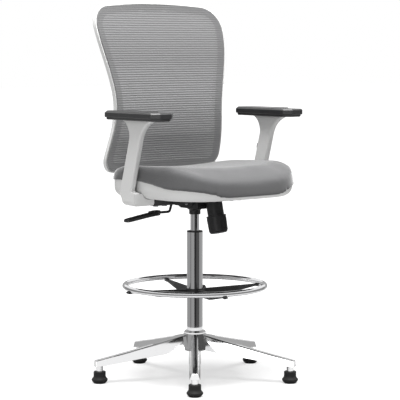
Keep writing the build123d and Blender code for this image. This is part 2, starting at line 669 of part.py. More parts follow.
BAR_SCREWS = [(-15.0, BAR_START + 16), (15.0, BAR_START + 16), (0.0, BAR_START + 40)]
plate = drilled(seat_plate(), SEAT_SCREWS, SCREW_R, PLATE_BOTTOM - 1, PLATE_TOP + 1)
plate = drilled(plate, BAR_SCREWS, SCREW_R, PLATE_BOTTOM - 1, PLATE_TOP + 1)
save("seat_plate", whole(plate))


def hex_screw(x, y, z, reach):
    """Screw pushed up from below: its flanged head hangs under z."""
    head = disc(SCREW_R * 2.1, z - 1.2, z, x, y) + hexagon(SCREW_R * 3.2, z - 5, z - 1.2, x, y)
    return head + disc(SCREW_R, z, z + reach, x, y)


PAN_REACH = PAN_TOP - PLATE_BOTTOM - 2
save("seat_screws", *[hex_screw(x, y, PLATE_BOTTOM, PAN_REACH) for x, y in SEAT_SCREWS])

# ---------------------------------------------------------------- lever
ACTUATOR_TOP = LEVER_Z + 7
actuator = block(LEVER_PIVOT_X - 3, LEVER_PIVOT_X + 12, LEVER_Y - ACTUATOR_HALF, LEVER_Y + ACTUATOR_HALF,
                 LEVER_Z - 6, ACTUATOR_TOP)
actuator = fillet(actuator.edges().filter_by(Axis.Z), 2.5)
trunnion_reach = ACTUATOR_HALF + AIR + TRUNNION_T
actuator = actuator + pin_y(TRUNNION_R, LEVER_Y - trunnion_reach, LEVER_Y + trunnion_reach,
                            LEVER_PIVOT_X, LEVER_Z)
NOSE_PAD_R = 3.0
PRESS_LEVEL = VALVE_TOP + NOSE_PAD_R
arm = block(LEVER_PIVOT_X + 8, LEVER_PIVOT_X + 12, -3.5, LEVER_Y, PRESS_LEVEL - 2, ACTUATOR_TOP)
reach = block(LEVER_PIVOT_X + 8, 2, -3.5, 3.5, PRESS_LEVEL, ACTUATOR_TOP)
pad = pin_y(NOSE_PAD_R, -3.5, 3.5, 0, PRESS_LEVEL)
actuator = actuator + arm + reach + pad
actuator = actuator - pin_x(LEVER_R + RUN, -80, 40, LEVER_Y, LEVER_Z)
save("valve_actuator", whole(actuator))


def lever_rod():
    """Bent steel rod: out of the housing, down, then out to the paddle."""
    z_low = LEVER_Z - LEVER_DROP
    wire = FilletPolyline(
        (LEVER_PIVOT_X + 20, LEVER_Y, LEVER_Z), (LEVER_OUT_X, LEVER_Y, LEVER_Z),
        (LEVER_OUT_X - 10, LEVER_Y, z_low), (PADDLE_IN_X - 30, LEVER_Y, z_low), radius=9,
    )
    profile = Plane(wire @ 0, z_dir=wire % 0) * Circle(LEVER_R)
    return sweep(profile, wire)


save("lever_rod", lever_rod())


def lever_paddle():
    """Blade that falls outwards from its collar, thin at the tip and dished for the fingers."""
    z = LEVER_Z - LEVER_DROP
    length = PADDLE_IN_X - PADDLE_OUT_X
    fall = length * tan(radians(PADDLE_SLOPE))
    tip_t = PADDLE_T * 0.6
    plan = make_face(Polyline(
        (PADDLE_IN_X, LEVER_Y - PADDLE_W * 0.27), (PADDLE_IN_X - 16, LEVER_Y - PADDLE_W / 2),
        (PADDLE_OUT_X, LEVER_Y - PADDLE_W / 2), (PADDLE_OUT_X, LEVER_Y + PADDLE_W / 2),
        (PADDLE_IN_X - 16, LEVER_Y + PADDLE_W / 2), (PADDLE_IN_X, LEVER_Y + PADDLE_W * 0.27),
        close=True,
    ))
    plan = fillet(plan.vertices().group_by(Axis.X)[0], PADDLE_W * 0.36)
    front = make_face([
        Line((PADDLE_IN_X, z - PADDLE_T / 2), (PADDLE_IN_X, z + PADDLE_T / 2)),
        Spline((PADDLE_IN_X, z + PADDLE_T / 2), (PADDLE_OUT_X, z - fall + tip_t / 2),
               tangents=[(-1, -0.05), (-1, -0.12)]),
        Line((PADDLE_OUT_X, z - fall + tip_t / 2), (PADDLE_OUT_X, z - fall - tip_t / 2)),
        Spline((PADDLE_OUT_X, z - fall - tip_t / 2), (PADDLE_IN_X, z - PADDLE_T / 2),
               tangents=[(1, 0.12), (1, 0.05)]),
    ])
    body = extrude(plan, z + 60) & along(front, LEVER_Y - 40, LEVER_Y + 40)
    body = whole(body)
    body = chamfer([e for e in body.edges() if e.length > length * 0.5], 2.0)
    grip = (PADDLE_IN_X + PADDLE_OUT_X) / 2 - 8
    dish_r = 60.0
    grip_top = z - fall * (PADDLE_IN_X - grip) / length + (PADDLE_T + tip_t) / 4
    dish = Pos(grip, LEVER_Y, grip_top + dish_r - 2.5) * Rot(0, 90 - PADDLE_SLOPE, 0) * Cylinder(
        dish_r, length * 0.55)
    body = body - dish
    return whole(body - pin_x(LEVER_R, PADDLE_IN_X - 30, PADDLE_IN_X + 10, LEVER_Y, z))


save("lever_paddle", lever_paddle())

# ---------------------------------------------------------------- seat
def seat_outline(inset):
    """Plan of the seat: wide, round front corners and tighter rear ones."""
    x = SEAT_HALF - inset
    y0 = SEAT_FRONT + inset
    y1 = SEAT_REAR - inset
    front_end = y0 + SEAT_FRONT_BOW
    rear_end = y1 - SEAT_REAR_BOW
    front = ThreePointArc((-x, front_end), (0, y0), (x, front_end))
    rear = ThreePointArc((x, rear_end), (0, y1), (-x, rear_end))
    right = Line((x, front_end), (x, rear_end))
    left = Line((-x, rear_end), (-x, front_end))
    face = make_face([front, right, rear, left])
    corners = face.vertices().group_by(Axis.Y)
    face = fillet(corners[0], SEAT_CORNER_FRONT - inset)
    return fillet(face.vertices().group_by(Axis.Y)[-1], SEAT_CORNER_REAR - inset)


def rim_side(lift, top):
    """(y, z) area above the shell's rim, which drops towards the front."""
    y0 = SEAT_FRONT - 20
    y1 = SEAT_REAR + 20
    drop = RIM_Z - RIM_FRONT_Z
    rim = Spline(
        (y1, RIM_Z + lift), (SEAT_FRONT * 0.25, RIM_Z + lift),
        (SEAT_FRONT * 0.66, RIM_Z - drop * 0.35 + lift),
        (SEAT_FRONT + 8, RIM_FRONT_Z + lift), tangents=[(-1, 0), (-0.35, -1)],
    )
    sides = Polyline((SEAT_FRONT + 8, RIM_FRONT_Z + lift), (y0, RIM_FRONT_Z - 6 + lift),
                     (y0, top), (y1, top), (y1, RIM_Z + lift))
    return make_face([rim, sides])


SHELL_OUT = SHELL_INSET
far = 400.0


def tray(inset, bottom, corner):
    body = Pos(0, 0, bottom) * extrude(seat_outline(inset), RIM_Z + 10 - bottom)
    return fillet(body.edges().group_by(Axis.Z)[0], corner)


above_rim = across(rim_side(0, SEAT_TOP + 40), -far, far)
above_rim_air = across(rim_side(AIR, SEAT_TOP + 40), -far, far)
shell_solid = tray(SHELL_INSET, SHELL_BOTTOM, SHELL_CORNER)
shell_cavity = tray(SHELL_INSET + SHELL_WALL, PAN_BOTTOM, SHELL_CORNER - SHELL_WALL)
shell = shell_solid - shell_cavity - above_rim
SHELL_SCREWS = [(x, y) for x in (-165.0, 165.0) for y in (-170.0, -40.0, 80.0)]
recess_half = BOLT_R + 12
barrel_recess = block(-recess_half, recess_half, KNOB_Y - 14, KNOB_Y + 14, PLATE_TOP - 5, PAN_TOP + 1)
shell = shell - barrel_recess
shell = drilled(shell, SEAT_SCREWS, SCREW_R, SHELL_BOTTOM - 1, PAN_BOTTOM + 1)
shell = drilled(shell, SHELL_SCREWS, SCREW_R * 0.7, SHELL_BOTTOM - 1, PAN_BOTTOM + 1)
save("seat_shell", whole(shell))

pan = Pos(0, 0, PAN_BOTTOM) * extrude(seat_outline(PAN_INSET), PAN_T)
pan = pan - barrel_recess
pan = drilled(pan, SEAT_SCREWS, SCREW_R, PAN_BOTTOM - 1, PAN_TOP + 1)
pan = drilled(pan, SHELL_SCREWS, SCREW_R * 0.7, PAN_BOTTOM - 1, PAN_TOP - 2)
save("seat_pan", whole(pan))


def pan_screw(x, y, z, reach, radius):
    head = disc(radius * 2, z - 1.6, z, x, y) - block(x - 4, x + 4, y - 0.5, y + 0.5, z - 2, z - 0.9)
    return head + disc(radius, z, z + reach, x, y)


save("shell_screws", *[
    pan_screw(x, y, SHELL_BOTTOM, SHELL_WALL + PAN_T - 2, SCREW_R * 0.7) for x, y in SHELL_SCREWS])


def cushion():
    """Waterfall cushion: domed over the shell's rim and filling the shell below it."""
    crown = make_face([
        Spline(
            (SEAT_REAR + 10, SEAT_TOP - 17), (SEAT_REAR * 0.4, SEAT_TOP - 7),
            (SEAT_FRONT * 0.25, SEAT_TOP), (SEAT_FRONT * 0.6, SEAT_TOP - 7),
            (SEAT_FRONT * 0.86, SEAT_TOP - 28), (SEAT_FRONT - 2, SEAT_TOP - 52),
        ),
        Polyline((SEAT_FRONT - 2, SEAT_TOP - 52), (SEAT_FRONT - 10, RIM_FRONT_Z - 10),
                 (SEAT_REAR + 10, RIM_FRONT_Z - 10), (SEAT_REAR + 10, SEAT_TOP - 17)),
    ])
    block_up = Pos(0, 0, RIM_FRONT_Z - 10) * extrude(seat_outline(0), SEAT_TOP - RIM_FRONT_Z + 10)
    block_up = fillet(block_up.edges().group_by(Axis.Z)[-1], SEAT_EDGE)
    top = whole(block_up & across(crown, -far, far))
    dish_half = SEAT_HALF * 0.8
    dish_r = (dish_half ** 2 + SEAT_DISH ** 2) / (2 * SEAT_DISH)
    dish_fall = degrees(atan2(SEAT_DISH * 1.4, SEAT_REAR - SEAT_FRONT * 0.7))
    dish = Rot(90 - dish_fall, 0, 0) * Cylinder(dish_r, 3 * far)
    top = whole(top - Pos(0, SEAT_REAR, SEAT_TOP - 17 - SEAT_DISH + dish_r) * dish)
    top = whole(top & above_rim_air)
    inner = tray(SHELL_INSET + SHELL_WALL + AIR, PAN_BOTTOM, SHELL_CORNER - SHELL_WALL - AIR)
    lower = inner & block(-far, far, -far, far, PAN_TOP, RIM_Z + 5)
    lower = lower - above_rim_air
    return whole(top + lower)


save("seat_cushion", cushion())

# ---------------------------------------------------------------- arms
# frame of the leaning upright: z runs up along it, y is its front-to-back width
ARM_FRAME = Plane(origin=(0, SEAM_Y, SEAM_Z), x_dir=(1, 0, 0), z_dir=(0, -sin(LEAN), cos(LEAN)))
ARM_LENGTH = (ARM_TOP - SEAM_Z) / cos(LEAN)
PLATE_GAP = AIR


def lean_y(z):
    return SEAM_Y - (z - SEAM_Z) * tan(LEAN)


def sleeve():
    """Upright that slides on its post and spreads under the arm pad."""
    half = UPRIGHT_W / 2
    top_y = PAD_Y - 4
    neck = SEAM_Z + (ARM_TOP - SEAM_Z) * 0.72
    slope = (-tan(LEAN), 1)
    rear = Spline(
        (lean_y(neck) + half, neck), (top_y + FLARE_W / 2, ARM_TOP - 3),
        tangents=[slope, (1, 0.35)],
    )
    front = Spline(
        (top_y - FLARE_W / 2, ARM_TOP - 3), (lean_y(neck) - half, neck),
        tangents=[(1, -0.35), (tan(LEAN), -1)],
    )
    profile = make_face([
        Line((SEAM_Y - half, SEAM_Z), (SEAM_Y + half, SEAM_Z)),
        Line((SEAM_Y + half, SEAM_Z), (lean_y(neck) + half, neck)),
        rear,
        Line((top_y + FLARE_W / 2, ARM_TOP - 3), (top_y + FLARE_W / 2, ARM_TOP)),
        Line((top_y + FLARE_W / 2, ARM_TOP), (top_y - FLARE_W / 2, ARM_TOP)),
        Line((top_y - FLARE_W / 2, ARM_TOP), (top_y - FLARE_W / 2, ARM_TOP - 3)),
        front,
        Line((lean_y(neck) - half, neck), (SEAM_Y - half, SEAM_Z)),
    ])
    body = across(profile, ARM_X - UPRIGHT_T / 2, ARM_X + UPRIGHT_T / 2)
    long_edges = [e for e in body.edges() if abs(e.tangent_at(0.5).X) < 0.1
                  and SEAM_Z + 20 < e.center().Z < ARM_TOP - 1 and e.length > 20]
    body = fillet(long_edges, UPRIGHT_T * 0.3)
    slot = ARM_FRAME * Pos(ARM_X, 0, 0) * Box(
        POST_T + 2 * AIR, POST_W + 2 * AIR, 2 * (POST_TOP - SEAM_Z + 4) / cos(LEAN))
    return body - slot


def button_frame(depth):
    """Place on the sleeve's rear edge, z pointing out of it, sunk by depth."""
    half = UPRIGHT_W / 2 * cos(LEAN) - depth
    origin = (ARM_X, lean_y(BUTTON_Z) + half * cos(LEAN), BUTTON_Z + half * sin(LEAN))
    return Plane(origin=origin, x_dir=(1, 0, 0), z_dir=(0, cos(LEAN), sin(LEAN)))


POCKET_DEPTH = UPRIGHT_W / 2 * cos(LEAN) - (POST_W / 2 + AIR) - 1
pocket = button_frame(POCKET_DEPTH) * Pos(0, 0, 20) * Box(
    BUTTON_W + 2 * RUN, BUTTON_H + 2 * RUN, 40)
arm_sleeve = whole(sleeve() - pocket)
BUTTON_PROUD = BUTTON_TRAVEL + 0.8
button_depth = POCKET_DEPTH - BUTTON_TRAVEL - AIR + BUTTON_PROUD
button = button_frame(POCKET_DEPTH - BUTTON_TRAVEL - AIR) * Pos(0, 0, button_depth / 2) * Box(
    BUTTON_W, BUTTON_H, button_depth)
button = fillet(button.edges().filter_by(Axis.X).group_by(Axis.Y)[-1], 1.5)

PAD_BASE_TOP = ARM_TOP + PAD_BASE_T


def pad_outline(inset, length, middle):
    """Plan of the arm pad: straight sides with cut corners."""
    w = PAD_W / 2 - inset
    y0 = middle - length / 2 + inset
    y1 = middle + length / 2 - inset
    cut = PAD_W * 0.25
    return outline([
        (ARM_X - w, y0 + cut), (ARM_X - w + cut, y0), (ARM_X + w - cut, y0), (ARM_X + w, y0 + cut),
        (ARM_X + w, y1 - cut), (ARM_X + w - cut, y1), (ARM_X - w + cut, y1), (ARM_X - w, y1 - cut),
    ])


pad_base = Pos(0, 0, ARM_TOP) * extrude(pad_outline(4, PAD_L, PAD_Y), PAD_BASE_T)
pad_base = chamfer(pad_base.edges().group_by(Axis.Z)[0], 2.5)
PAD_SCREWS = [(ARM_X, PAD_Y - 4 - FLARE_W * 0.36), (ARM_X, PAD_Y - 4 + FLARE_W * 0.36)]
pad_base = drilled(pad_base, PAD_SCREWS, SCREW_R * 0.8, ARM_TOP - 1, PAD_BASE_TOP + 1)
arm_sleeve = drilled(arm_sleeve, PAD_SCREWS, SCREW_R * 0.8, ARM_TOP - 60, ARM_TOP + 1)
FLARE_UNDER = ARM_TOP - 9
arm_sleeve = drilled(arm_sleeve, PAD_SCREWS, SCREW_R * 1.7, ARM_TOP - 90, FLARE_UNDER)


def arm_pad():
    """Soft top: sloping sides, with a smooth front third set a little lower."""
    body = Pos(0, 0, PAD_BASE_TOP) * extrude(pad_outline(0, PAD_L, PAD_Y), PAD_TOP - PAD_BASE_TOP)
    body = chamfer(body.edges().group_by(Axis.Z)[-1], 6, 7)
    body = chamfer(body.edges().group_by(Axis.Z)[0], 2)
    front_end = PAD_Y - PAD_L / 2 - 1
    step_y = front_end + PAD_L * 0.32
    step = across(outline([
        (front_end, PAD_TOP - PAD_STEP), (step_y - 3, PAD_TOP - PAD_STEP),
        (step_y, PAD_TOP + 1), (front_end, PAD_TOP + 1),
    ]), ARM_X - PAD_W, ARM_X + PAD_W)
    body = body - step
    return drilled(body, PAD_SCREWS, SCREW_R * 0.8, PAD_BASE_TOP - 1, PAD_BASE_TOP + 7)


def pad_screw(x, y):
    return disc(SCREW_R * 0.8, FLARE_UNDER, PAD_BASE_TOP + 7, x, y) + disc(
        SCREW_R * 1.6, FLARE_UNDER - 3, FLARE_UNDER, x, y)


pad_body = whole(arm_pad())
pad_screws = [pad_screw(x, y) for x, y in PAD_SCREWS]



def bracket_side():
    """(y, z) outline of the elbow below the seam: deep behind, square in front."""
    half = UPRIGHT_W / 2
    front = STRUT_Y - STRUT_W / 2
    heel = STRUT_Y + STRUT_W * 0.35
    return make_face([
        Line((SEAM_Y - half, SEAM_Z), (SEAM_Y + half, SEAM_Z)),
        Spline((SEAM_Y + half, SEAM_Z), (SEAM_Y + half - 10, SEAM_Z - 26), (heel, BRACKET_BOTTOM),
               tangents=[(0.1, -1), (-1, -0.1)]),
        Line((heel, BRACKET_BOTTOM), (front + 10, BRACKET_BOTTOM - 3)),
        Spline((front + 10, BRACKET_BOTTOM - 3), (front, BRACKET_BOTTOM + 8), tangents=[(-1, 0), (0, 1)]),
        Line((front, BRACKET_BOTTOM + 8), (front, SEAM_Z - 10)),
        Spline((front, SEAM_Z - 10), (SEAM_Y - half, SEAM_Z), tangents=[(0, 1), (0.2, 1)]),
    ])


# steel L-bar: flat under the seat, a shaped heel in the elbow, leaning inside the sleeve
POST_FLAT_Z = STRUT_BOTTOM + 7
post_length = (POST_TOP - SEAM_Z) / cos(LEAN)
post_up = ARM_FRAME * Pos(ARM_X, 0, post_length / 2 - 10) * Box(POST_T, POST_W, post_length + 20)
heel_plate = across(outline([
    (SEAM_Y - POST_W / 2, SEAM_Z), (SEAM_Y + POST_W / 2, SEAM_Z),
    (SEAM_Y + POST_W / 2 - 3, SEAM_Z - 14), (STRUT_Y + POST_W / 2 + 6, SEAM_Z - 28),
    (STRUT_Y + POST_W / 2, POST_FLAT_Z + POST_T), (STRUT_Y + POST_W / 2, POST_FLAT_Z),
    (STRUT_Y - POST_W / 2, POST_FLAT_Z), (STRUT_Y - POST_W / 2, SEAM_Z - 24),
]), ARM_X - POST_T / 2, ARM_X + POST_T / 2)
post_flat = block(STRUT_IN_X + 6, ARM_X, STRUT_Y - POST_W / 2, STRUT_Y + POST_W / 2,
                  POST_FLAT_Z, POST_FLAT_Z + POST_T)
post = post_up + heel_plate + post_flat
ARM_BOLTS = [(136.0, STRUT_Y), (170.0, STRUT_Y)]
ARM_BOLT_R = 4.0
post = whole(drilled(post, ARM_BOLTS, ARM_BOLT_R, POST_FLAT_Z - 1, POST_FLAT_Z + POST_T + 1))

strut = across(outline([
    (STRUT_Y - STRUT_W / 2, STRUT_BOTTOM), (STRUT_Y + STRUT_W / 2, STRUT_BOTTOM),
    (STRUT_Y + STRUT_W / 2, PLATE_BOTTOM), (STRUT_Y - STRUT_W / 2, PLATE_BOTTOM),
]), STRUT_IN_X, STRUT_OUT_X)
strut = chamfer([e for e in strut.edges().filter_by(Axis.X) if e.center().Z < STRUT_BOTTOM + 1], 3)
strut_slot = block(STRUT_IN_X + 6, STRUT_OUT_X + 1, STRUT_Y - POST_W / 2, STRUT_Y + POST_W / 2,
                   POST_FLAT_Z, POST_FLAT_Z + POST_T)
strut_relief = block(STRUT_IN_X + 4, STRUT_OUT_X - 4, STRUT_Y - STRUT_W / 2 + 4,
                     STRUT_Y + STRUT_W / 2 - 4, POST_FLAT_Z + POST_T, PLATE_BOTTOM + 1)
strut = strut - strut_slot - strut_relief
strut = whole(drilled(strut, ARM_BOLTS, ARM_BOLT_R, STRUT_BOTTOM - 1, POST_FLAT_Z + 1))


def arm_bolt(x, y):
    top = POST_FLAT_Z + POST_T
    shank = disc(ARM_BOLT_R, STRUT_BOTTOM, top, x, y)
    return shank + disc(ARM_BOLT_R * 2, STRUT_BOTTOM - 4.5, STRUT_BOTTOM, x, y) - hexagon(
        5, STRUT_BOTTOM - 5, STRUT_BOTTOM - 2, x, y)


def bracket():
    """Moulded elbow that covers the bend of the L-bar and meets the sleeve at the seam."""
    outer = ARM_X + UPRIGHT_T / 2
    inner = ARM_X - UPRIGHT_T / 2
    elbow = Polyline((inner, SEAM_Z), (outer, SEAM_Z), (outer, BRACKET_BOTTOM - 3),
                     (BRACKET_IN_X, BRACKET_BOTTOM - 3), (BRACKET_IN_X, SEAM_Z - 8),
                     (inner, SEAM_Z - 8), close=True)
    front = make_face(elbow)
    low = front.vertices().sort_by_distance(Vector(outer, BRACKET_BOTTOM - 3, 0))[0]
    front = fillet(low, 16)
    body = across(bracket_side(), 0, far) & along(front, -far, far)
    clearance = 1.2
    keep_out = Pos(0, 0, SHELL_BOTTOM - clearance) * extrude(
        seat_outline(SHELL_INSET - clearance), far)
    keep_out = fillet(keep_out.edges().group_by(Axis.Z)[0], SHELL_CORNER)
    cushion_room = Pos(0, 0, RIM_Z) * extrude(seat_outline(-clearance), far)
    return whole(body - keep_out - cushion_room)


elbow = whole(bracket() - post_up - heel_plate - post_flat)
for side_name, place in (("left", lambda s: s), ("right", mirrored)):
    save(f"arm_sleeve_{side_name}", place(arm_sleeve))
    save(f"arm_button_{side_name}", place(whole(button)))
    save(f"arm_pad_base_{side_name}", place(pad_base))
    save(f"arm_pad_{side_name}", place(pad_body))
    save(f"arm_pad_screws_{side_name}", *[place(s) for s in pad_screws])
    save(f"arm_post_{side_name}", place(post))
    save(f"arm_bracket_{side_name}", place(elbow))
save("arm_struts", strut, mirrored(strut))
save("arm_bolts", *[s for x, y in ARM_BOLTS for s in (arm_bolt(x, y), mirrored(arm_bolt(x, y)))])

# ---------------------------------------------------------------- back
LOW_PART = WAIST_Z - BACK_BOTTOM
HIGH_PART = BACK_TOP - WAIST_Z
BACK_LEVELS = [BACK_BOTTOM - 8, WAIST_Z - LOW_PART * 2 / 3, WAIST_Z - LOW_PART / 3, WAIST_Z]
BACK_LEVELS += [WAIST_Z + HIGH_PART * share for share in (0.25, 0.5, 0.75)] + [BACK_TOP + 8]


def edge_y(z):
    """Front-to-back place of the back's side edges: forward at the lumbar, back above and below."""
    if z < WAIST_Z:
        part, swing, end = (WAIST_Z - z) / LOW_PART, 2.3, BACK_BOTTOM_Y
    else:
        part, swing, end = (z - WAIST_Z) / HIGH_PART, 1.95, BACK_TOP_Y
    return LUMBAR_Y + (end - LUMBAR_Y) * (1 - cos(part * swing)) / (1 - cos(swing))


def curved_slab(front, rear):
    """Slab that follows the hollow back between two offsets behind its front face."""
    reach = BACK_TOP_HALF + 20
    extra = BACK_HOLLOW * ((reach / BACK_TOP_HALF) ** 2 - 1)
    faces = []
    for z in BACK_LEVELS:
        y = edge_y(z)
        bowed = [
            ThreePointArc((-reach, y - extra + off, z), (0, y + BACK_HOLLOW + off, z),
                          (reach, y - extra + off, z)) for off in (front, rear)]
        ends = [Line(bowed[0] @ end, bowed[1] @ end) for end in (0, 1)]
        faces.append(make_face([bowed[0], ends[1], bowed[1], ends[0]]))
    return loft(faces)


def back_outline(inset, bottom=BACK_BOTTOM):
    """Front view of the back: pinched waist, wide shoulders, crowned top."""
    bottom_half = BACK_BOTTOM_HALF - inset
    waist = BACK_WAIST_HALF - inset
    top_half = BACK_TOP_HALF - inset
    low = bottom + inset
    high = BACK_TOP - BACK_CROWN - inset
    right = Spline((bottom_half, low), (waist, WAIST_Z), (top_half, high - 95), (top_half - 3, high),
                   tangents=[(0.12, 1), (-0.15, 1)])
    top = ThreePointArc((top_half - 3, high), (0, BACK_TOP - inset), (3 - top_half, high))
    left = mirror(right, Plane.YZ)
    base = Line((-bottom_half, low), (bottom_half, low))
    face = make_face([right, top, left, base])
    rows = face.vertices().group_by(Axis.Y)
    face = fillet(rows[-1], 72 - inset)
    return fillet(face.vertices().group_by(Axis.Y)[0], 48 - inset * 0.8)


def back_prism(face):
    return along(face, 0, 400)


def back_frame():
    ring_face = back_outline(0)
    opening = back_outline(BACK_BORDER, CROSS_TOP - BACK_BORDER)
    slab = curved_slab(0, BACK_T)
    body = slab & back_prism(ring_face)
    body = whole(body - back_prism(opening))
    bar_face = BACK_BOTTOM_Y + BACK_HOLLOW + BACK_T + 5
    boss = block(-BAR_W / 2 - 8, BAR_W / 2 + 8, 100, bar_face, BAR_TOP - 80, BAR_TOP + 4)
    boss = boss - (curved_slab(-60, BACK_T / 2))
    body = body + whole(boss)
    for x, z in BACK_BOLTS:
        body = body - pin_y(SCREW_R, bar_face - 12, bar_face + 1, x, z)
    return whole(body)


BACK_BOLTS = [(-15.0, BAR_TOP - 60), (15.0, BAR_TOP - 60), (0.0, BAR_TOP - 18)]
save("back_frame", back_frame())
mesh = curved_slab(-AIR - FABRIC, -AIR) & back_prism(back_outline(BACK_RIM))
save("back_mesh", whole(mesh))

BAR_REAR = BACK_BOTTOM_Y + BACK_HOLLOW + BACK_T + 5
bar_path = Polyline((BAR_START, PLATE_BOTTOM - BAR_T / 2), (BAR_REAR + BAR_T / 2, PLATE_BOTTOM - BAR_T / 2),
                    (BAR_REAR + BAR_T / 2, BAR_TOP))
bar_wire = Plane.YZ * fillet(bar_path.vertices().sort_by(Axis.X)[1:2], BAR_BEND)
bar = sweep(Plane(bar_wire @ 0, x_dir=(1, 0, 0), z_dir=bar_wire % 0) * Rectangle(BAR_W, BAR_T), bar_wire)
bar = drilled(bar, BAR_SCREWS, SCREW_R, PLATE_BOTTOM - BAR_T - 1, PLATE_BOTTOM + 1)
for x, z in BACK_BOLTS:
    bar = bar - pin_y(SCREW_R, BAR_REAR - 1, BAR_REAR + BAR_T + 1, x, z)
save("back_bar", whole(bar))
save("bar_screws", *[hex_screw(x, y, PLATE_BOTTOM - BAR_T, BAR_T + PLATE_T) for x, y in BAR_SCREWS])


def back_bolt(x, z):
    face = BAR_REAR + BAR_T
    head = pin_y(SCREW_R * 2.1, face, face + 4, x, z)
    return pin_y(SCREW_R, BAR_REAR - 12, face, x, z) + head


save("back_bolts", *[back_bolt(x, z) for x, z in BACK_BOLTS])
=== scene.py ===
# %% [markdown]
# # Dressing a drafting chair
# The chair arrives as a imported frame: every hard piece is already in its right
# place and size. This lesson gives those pieces their finishes, and makes the
# soft and woven parts that a solid modeller can only stand in for: the seat
# cushion and the stretched mesh of the back.

# %% Load the frame
import bmesh
import bpy
import math
import numpy as np
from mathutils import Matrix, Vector, noise
from mathutils.bvhtree import BVHTree


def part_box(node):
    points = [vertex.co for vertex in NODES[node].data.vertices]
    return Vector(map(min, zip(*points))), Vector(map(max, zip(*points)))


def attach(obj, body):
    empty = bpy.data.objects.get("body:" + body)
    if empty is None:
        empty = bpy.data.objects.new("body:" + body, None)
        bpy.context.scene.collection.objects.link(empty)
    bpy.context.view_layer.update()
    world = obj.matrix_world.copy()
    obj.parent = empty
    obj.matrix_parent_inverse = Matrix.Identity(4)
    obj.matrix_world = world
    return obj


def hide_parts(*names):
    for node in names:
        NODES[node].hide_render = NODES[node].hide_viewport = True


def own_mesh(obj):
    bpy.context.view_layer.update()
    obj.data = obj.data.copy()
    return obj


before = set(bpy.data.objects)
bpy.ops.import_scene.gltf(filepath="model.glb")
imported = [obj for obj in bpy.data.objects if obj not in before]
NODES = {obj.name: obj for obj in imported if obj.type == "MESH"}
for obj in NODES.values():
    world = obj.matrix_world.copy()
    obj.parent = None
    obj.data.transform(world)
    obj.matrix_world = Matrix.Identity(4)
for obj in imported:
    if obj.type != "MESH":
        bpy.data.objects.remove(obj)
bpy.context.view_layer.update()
print("pieces in the frame:", len(NODES))

# %% [markdown]
# ## Small tools
# A few helpers are used all the way through. One turns lists of corners and
# faces into an object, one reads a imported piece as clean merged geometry, and
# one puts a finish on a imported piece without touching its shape.

# %% Helpers for meshes
JOIN_WITHIN = 1e-5


def mesh_piece(name, corners, faces, smooth=True):
    """A new object whose place is in its mesh."""
    data = bpy.data.meshes.new(name)
    data.from_pydata([tuple(c) for c in corners], [], faces)
    data.update()
    for face in data.polygons:
        face.use_smooth = smooth
    piece = bpy.data.objects.new(name, data)
    bpy.context.scene.collection.objects.link(piece)
    return piece


def merged_copy(node):
    """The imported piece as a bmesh, its loose triangles joined."""
    shape = bmesh.new()
    shape.from_mesh(NODES[node].data)
    bmesh.ops.remove_doubles(shape, verts=shape.verts, dist=JOIN_WITHIN)
    return shape


def finish_nodes(nodes, material):
    """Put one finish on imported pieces."""
    for node in nodes:
        slots = NODES[node].data.materials
        slots.clear()
        slots.append(material)
    print(material.name, "on", len(nodes), "pieces")


shell = merged_copy("seat_shell")
print("seat shell:", len(NODES["seat_shell"].data.vertices), "loose corners,", len(shell.verts), "joined")
shell.free()

# %% [markdown]
# A modifier is only a recipe. To measure or move what it makes, its result is
# taken out as a plain mesh, and the recipe is thrown away.

# %% Keep a modifier's result
def freeze(piece):
    """Swap the piece's mesh for what its modifiers make of it."""
    bpy.context.view_layer.update()
    graph = bpy.context.evaluated_depsgraph_get()
    made = bpy.data.meshes.new_from_object(piece.evaluated_get(graph), depsgraph=graph)
    piece.modifiers.clear()
    old = piece.data
    piece.data = made
    bpy.data.meshes.remove(old)
    made.name = piece.name
    return piece


def count_faces(piece):
    print(piece.name, "has", len(piece.data.polygons), "faces")


# %% [markdown]
# ## Camera and studio
# The camera stands far off with a long lens, a little above the seat, and
# looks at the chair's front right quarter. It is made first, so that every
# later cell can be checked from the same place.

# %% Camera
VIEW_TURN = math.radians(40)
CAMERA_FAR = 5.5
CAMERA_HIGH = 1.05
AIM_HIGH = 0.562
AIM_ASIDE = 0.002952  # sideways, as a share of the distance
LENS = 158.55
SENSOR = 36


def place_camera():
    lens = bpy.data.cameras.new("view")
    lens.lens = LENS
    lens.sensor_width = SENSOR
    lens.clip_end = 60
    camera = bpy.data.objects.new("view", lens)
    bpy.context.scene.collection.objects.link(camera)
    toward = Vector((-math.sin(VIEW_TURN), -math.cos(VIEW_TURN), 0))
    camera.location = toward * CAMERA_FAR + Vector((0, 0, CAMERA_HIGH))
    drop = math.atan2(CAMERA_HIGH - AIM_HIGH, CAMERA_FAR)
    camera.rotation_euler = (math.pi / 2 - drop, 0, -VIEW_TURN - math.atan(AIM_ASIDE))
    bpy.context.scene.camera = camera
    return camera


bpy.context.scene.view_settings.view_transform = "Standard"
camera = place_camera()
print("camera at", [round(c, 3) for c in camera.location])

# %% [markdown]
# ## Light
# Chrome shows what stands round it, so the studio is planned for the metal:
# a bright room, with a few dark cards where a photographer would hang black
# cloth. A broad lamp over the seat does most of the work and a weaker one
# fills the side towards the camera. The room is white only where it is seen,
# straight on, in a mirror or through glass, and lights everything else less.

# %% Room light
ROOM_LIGHT = 0.42


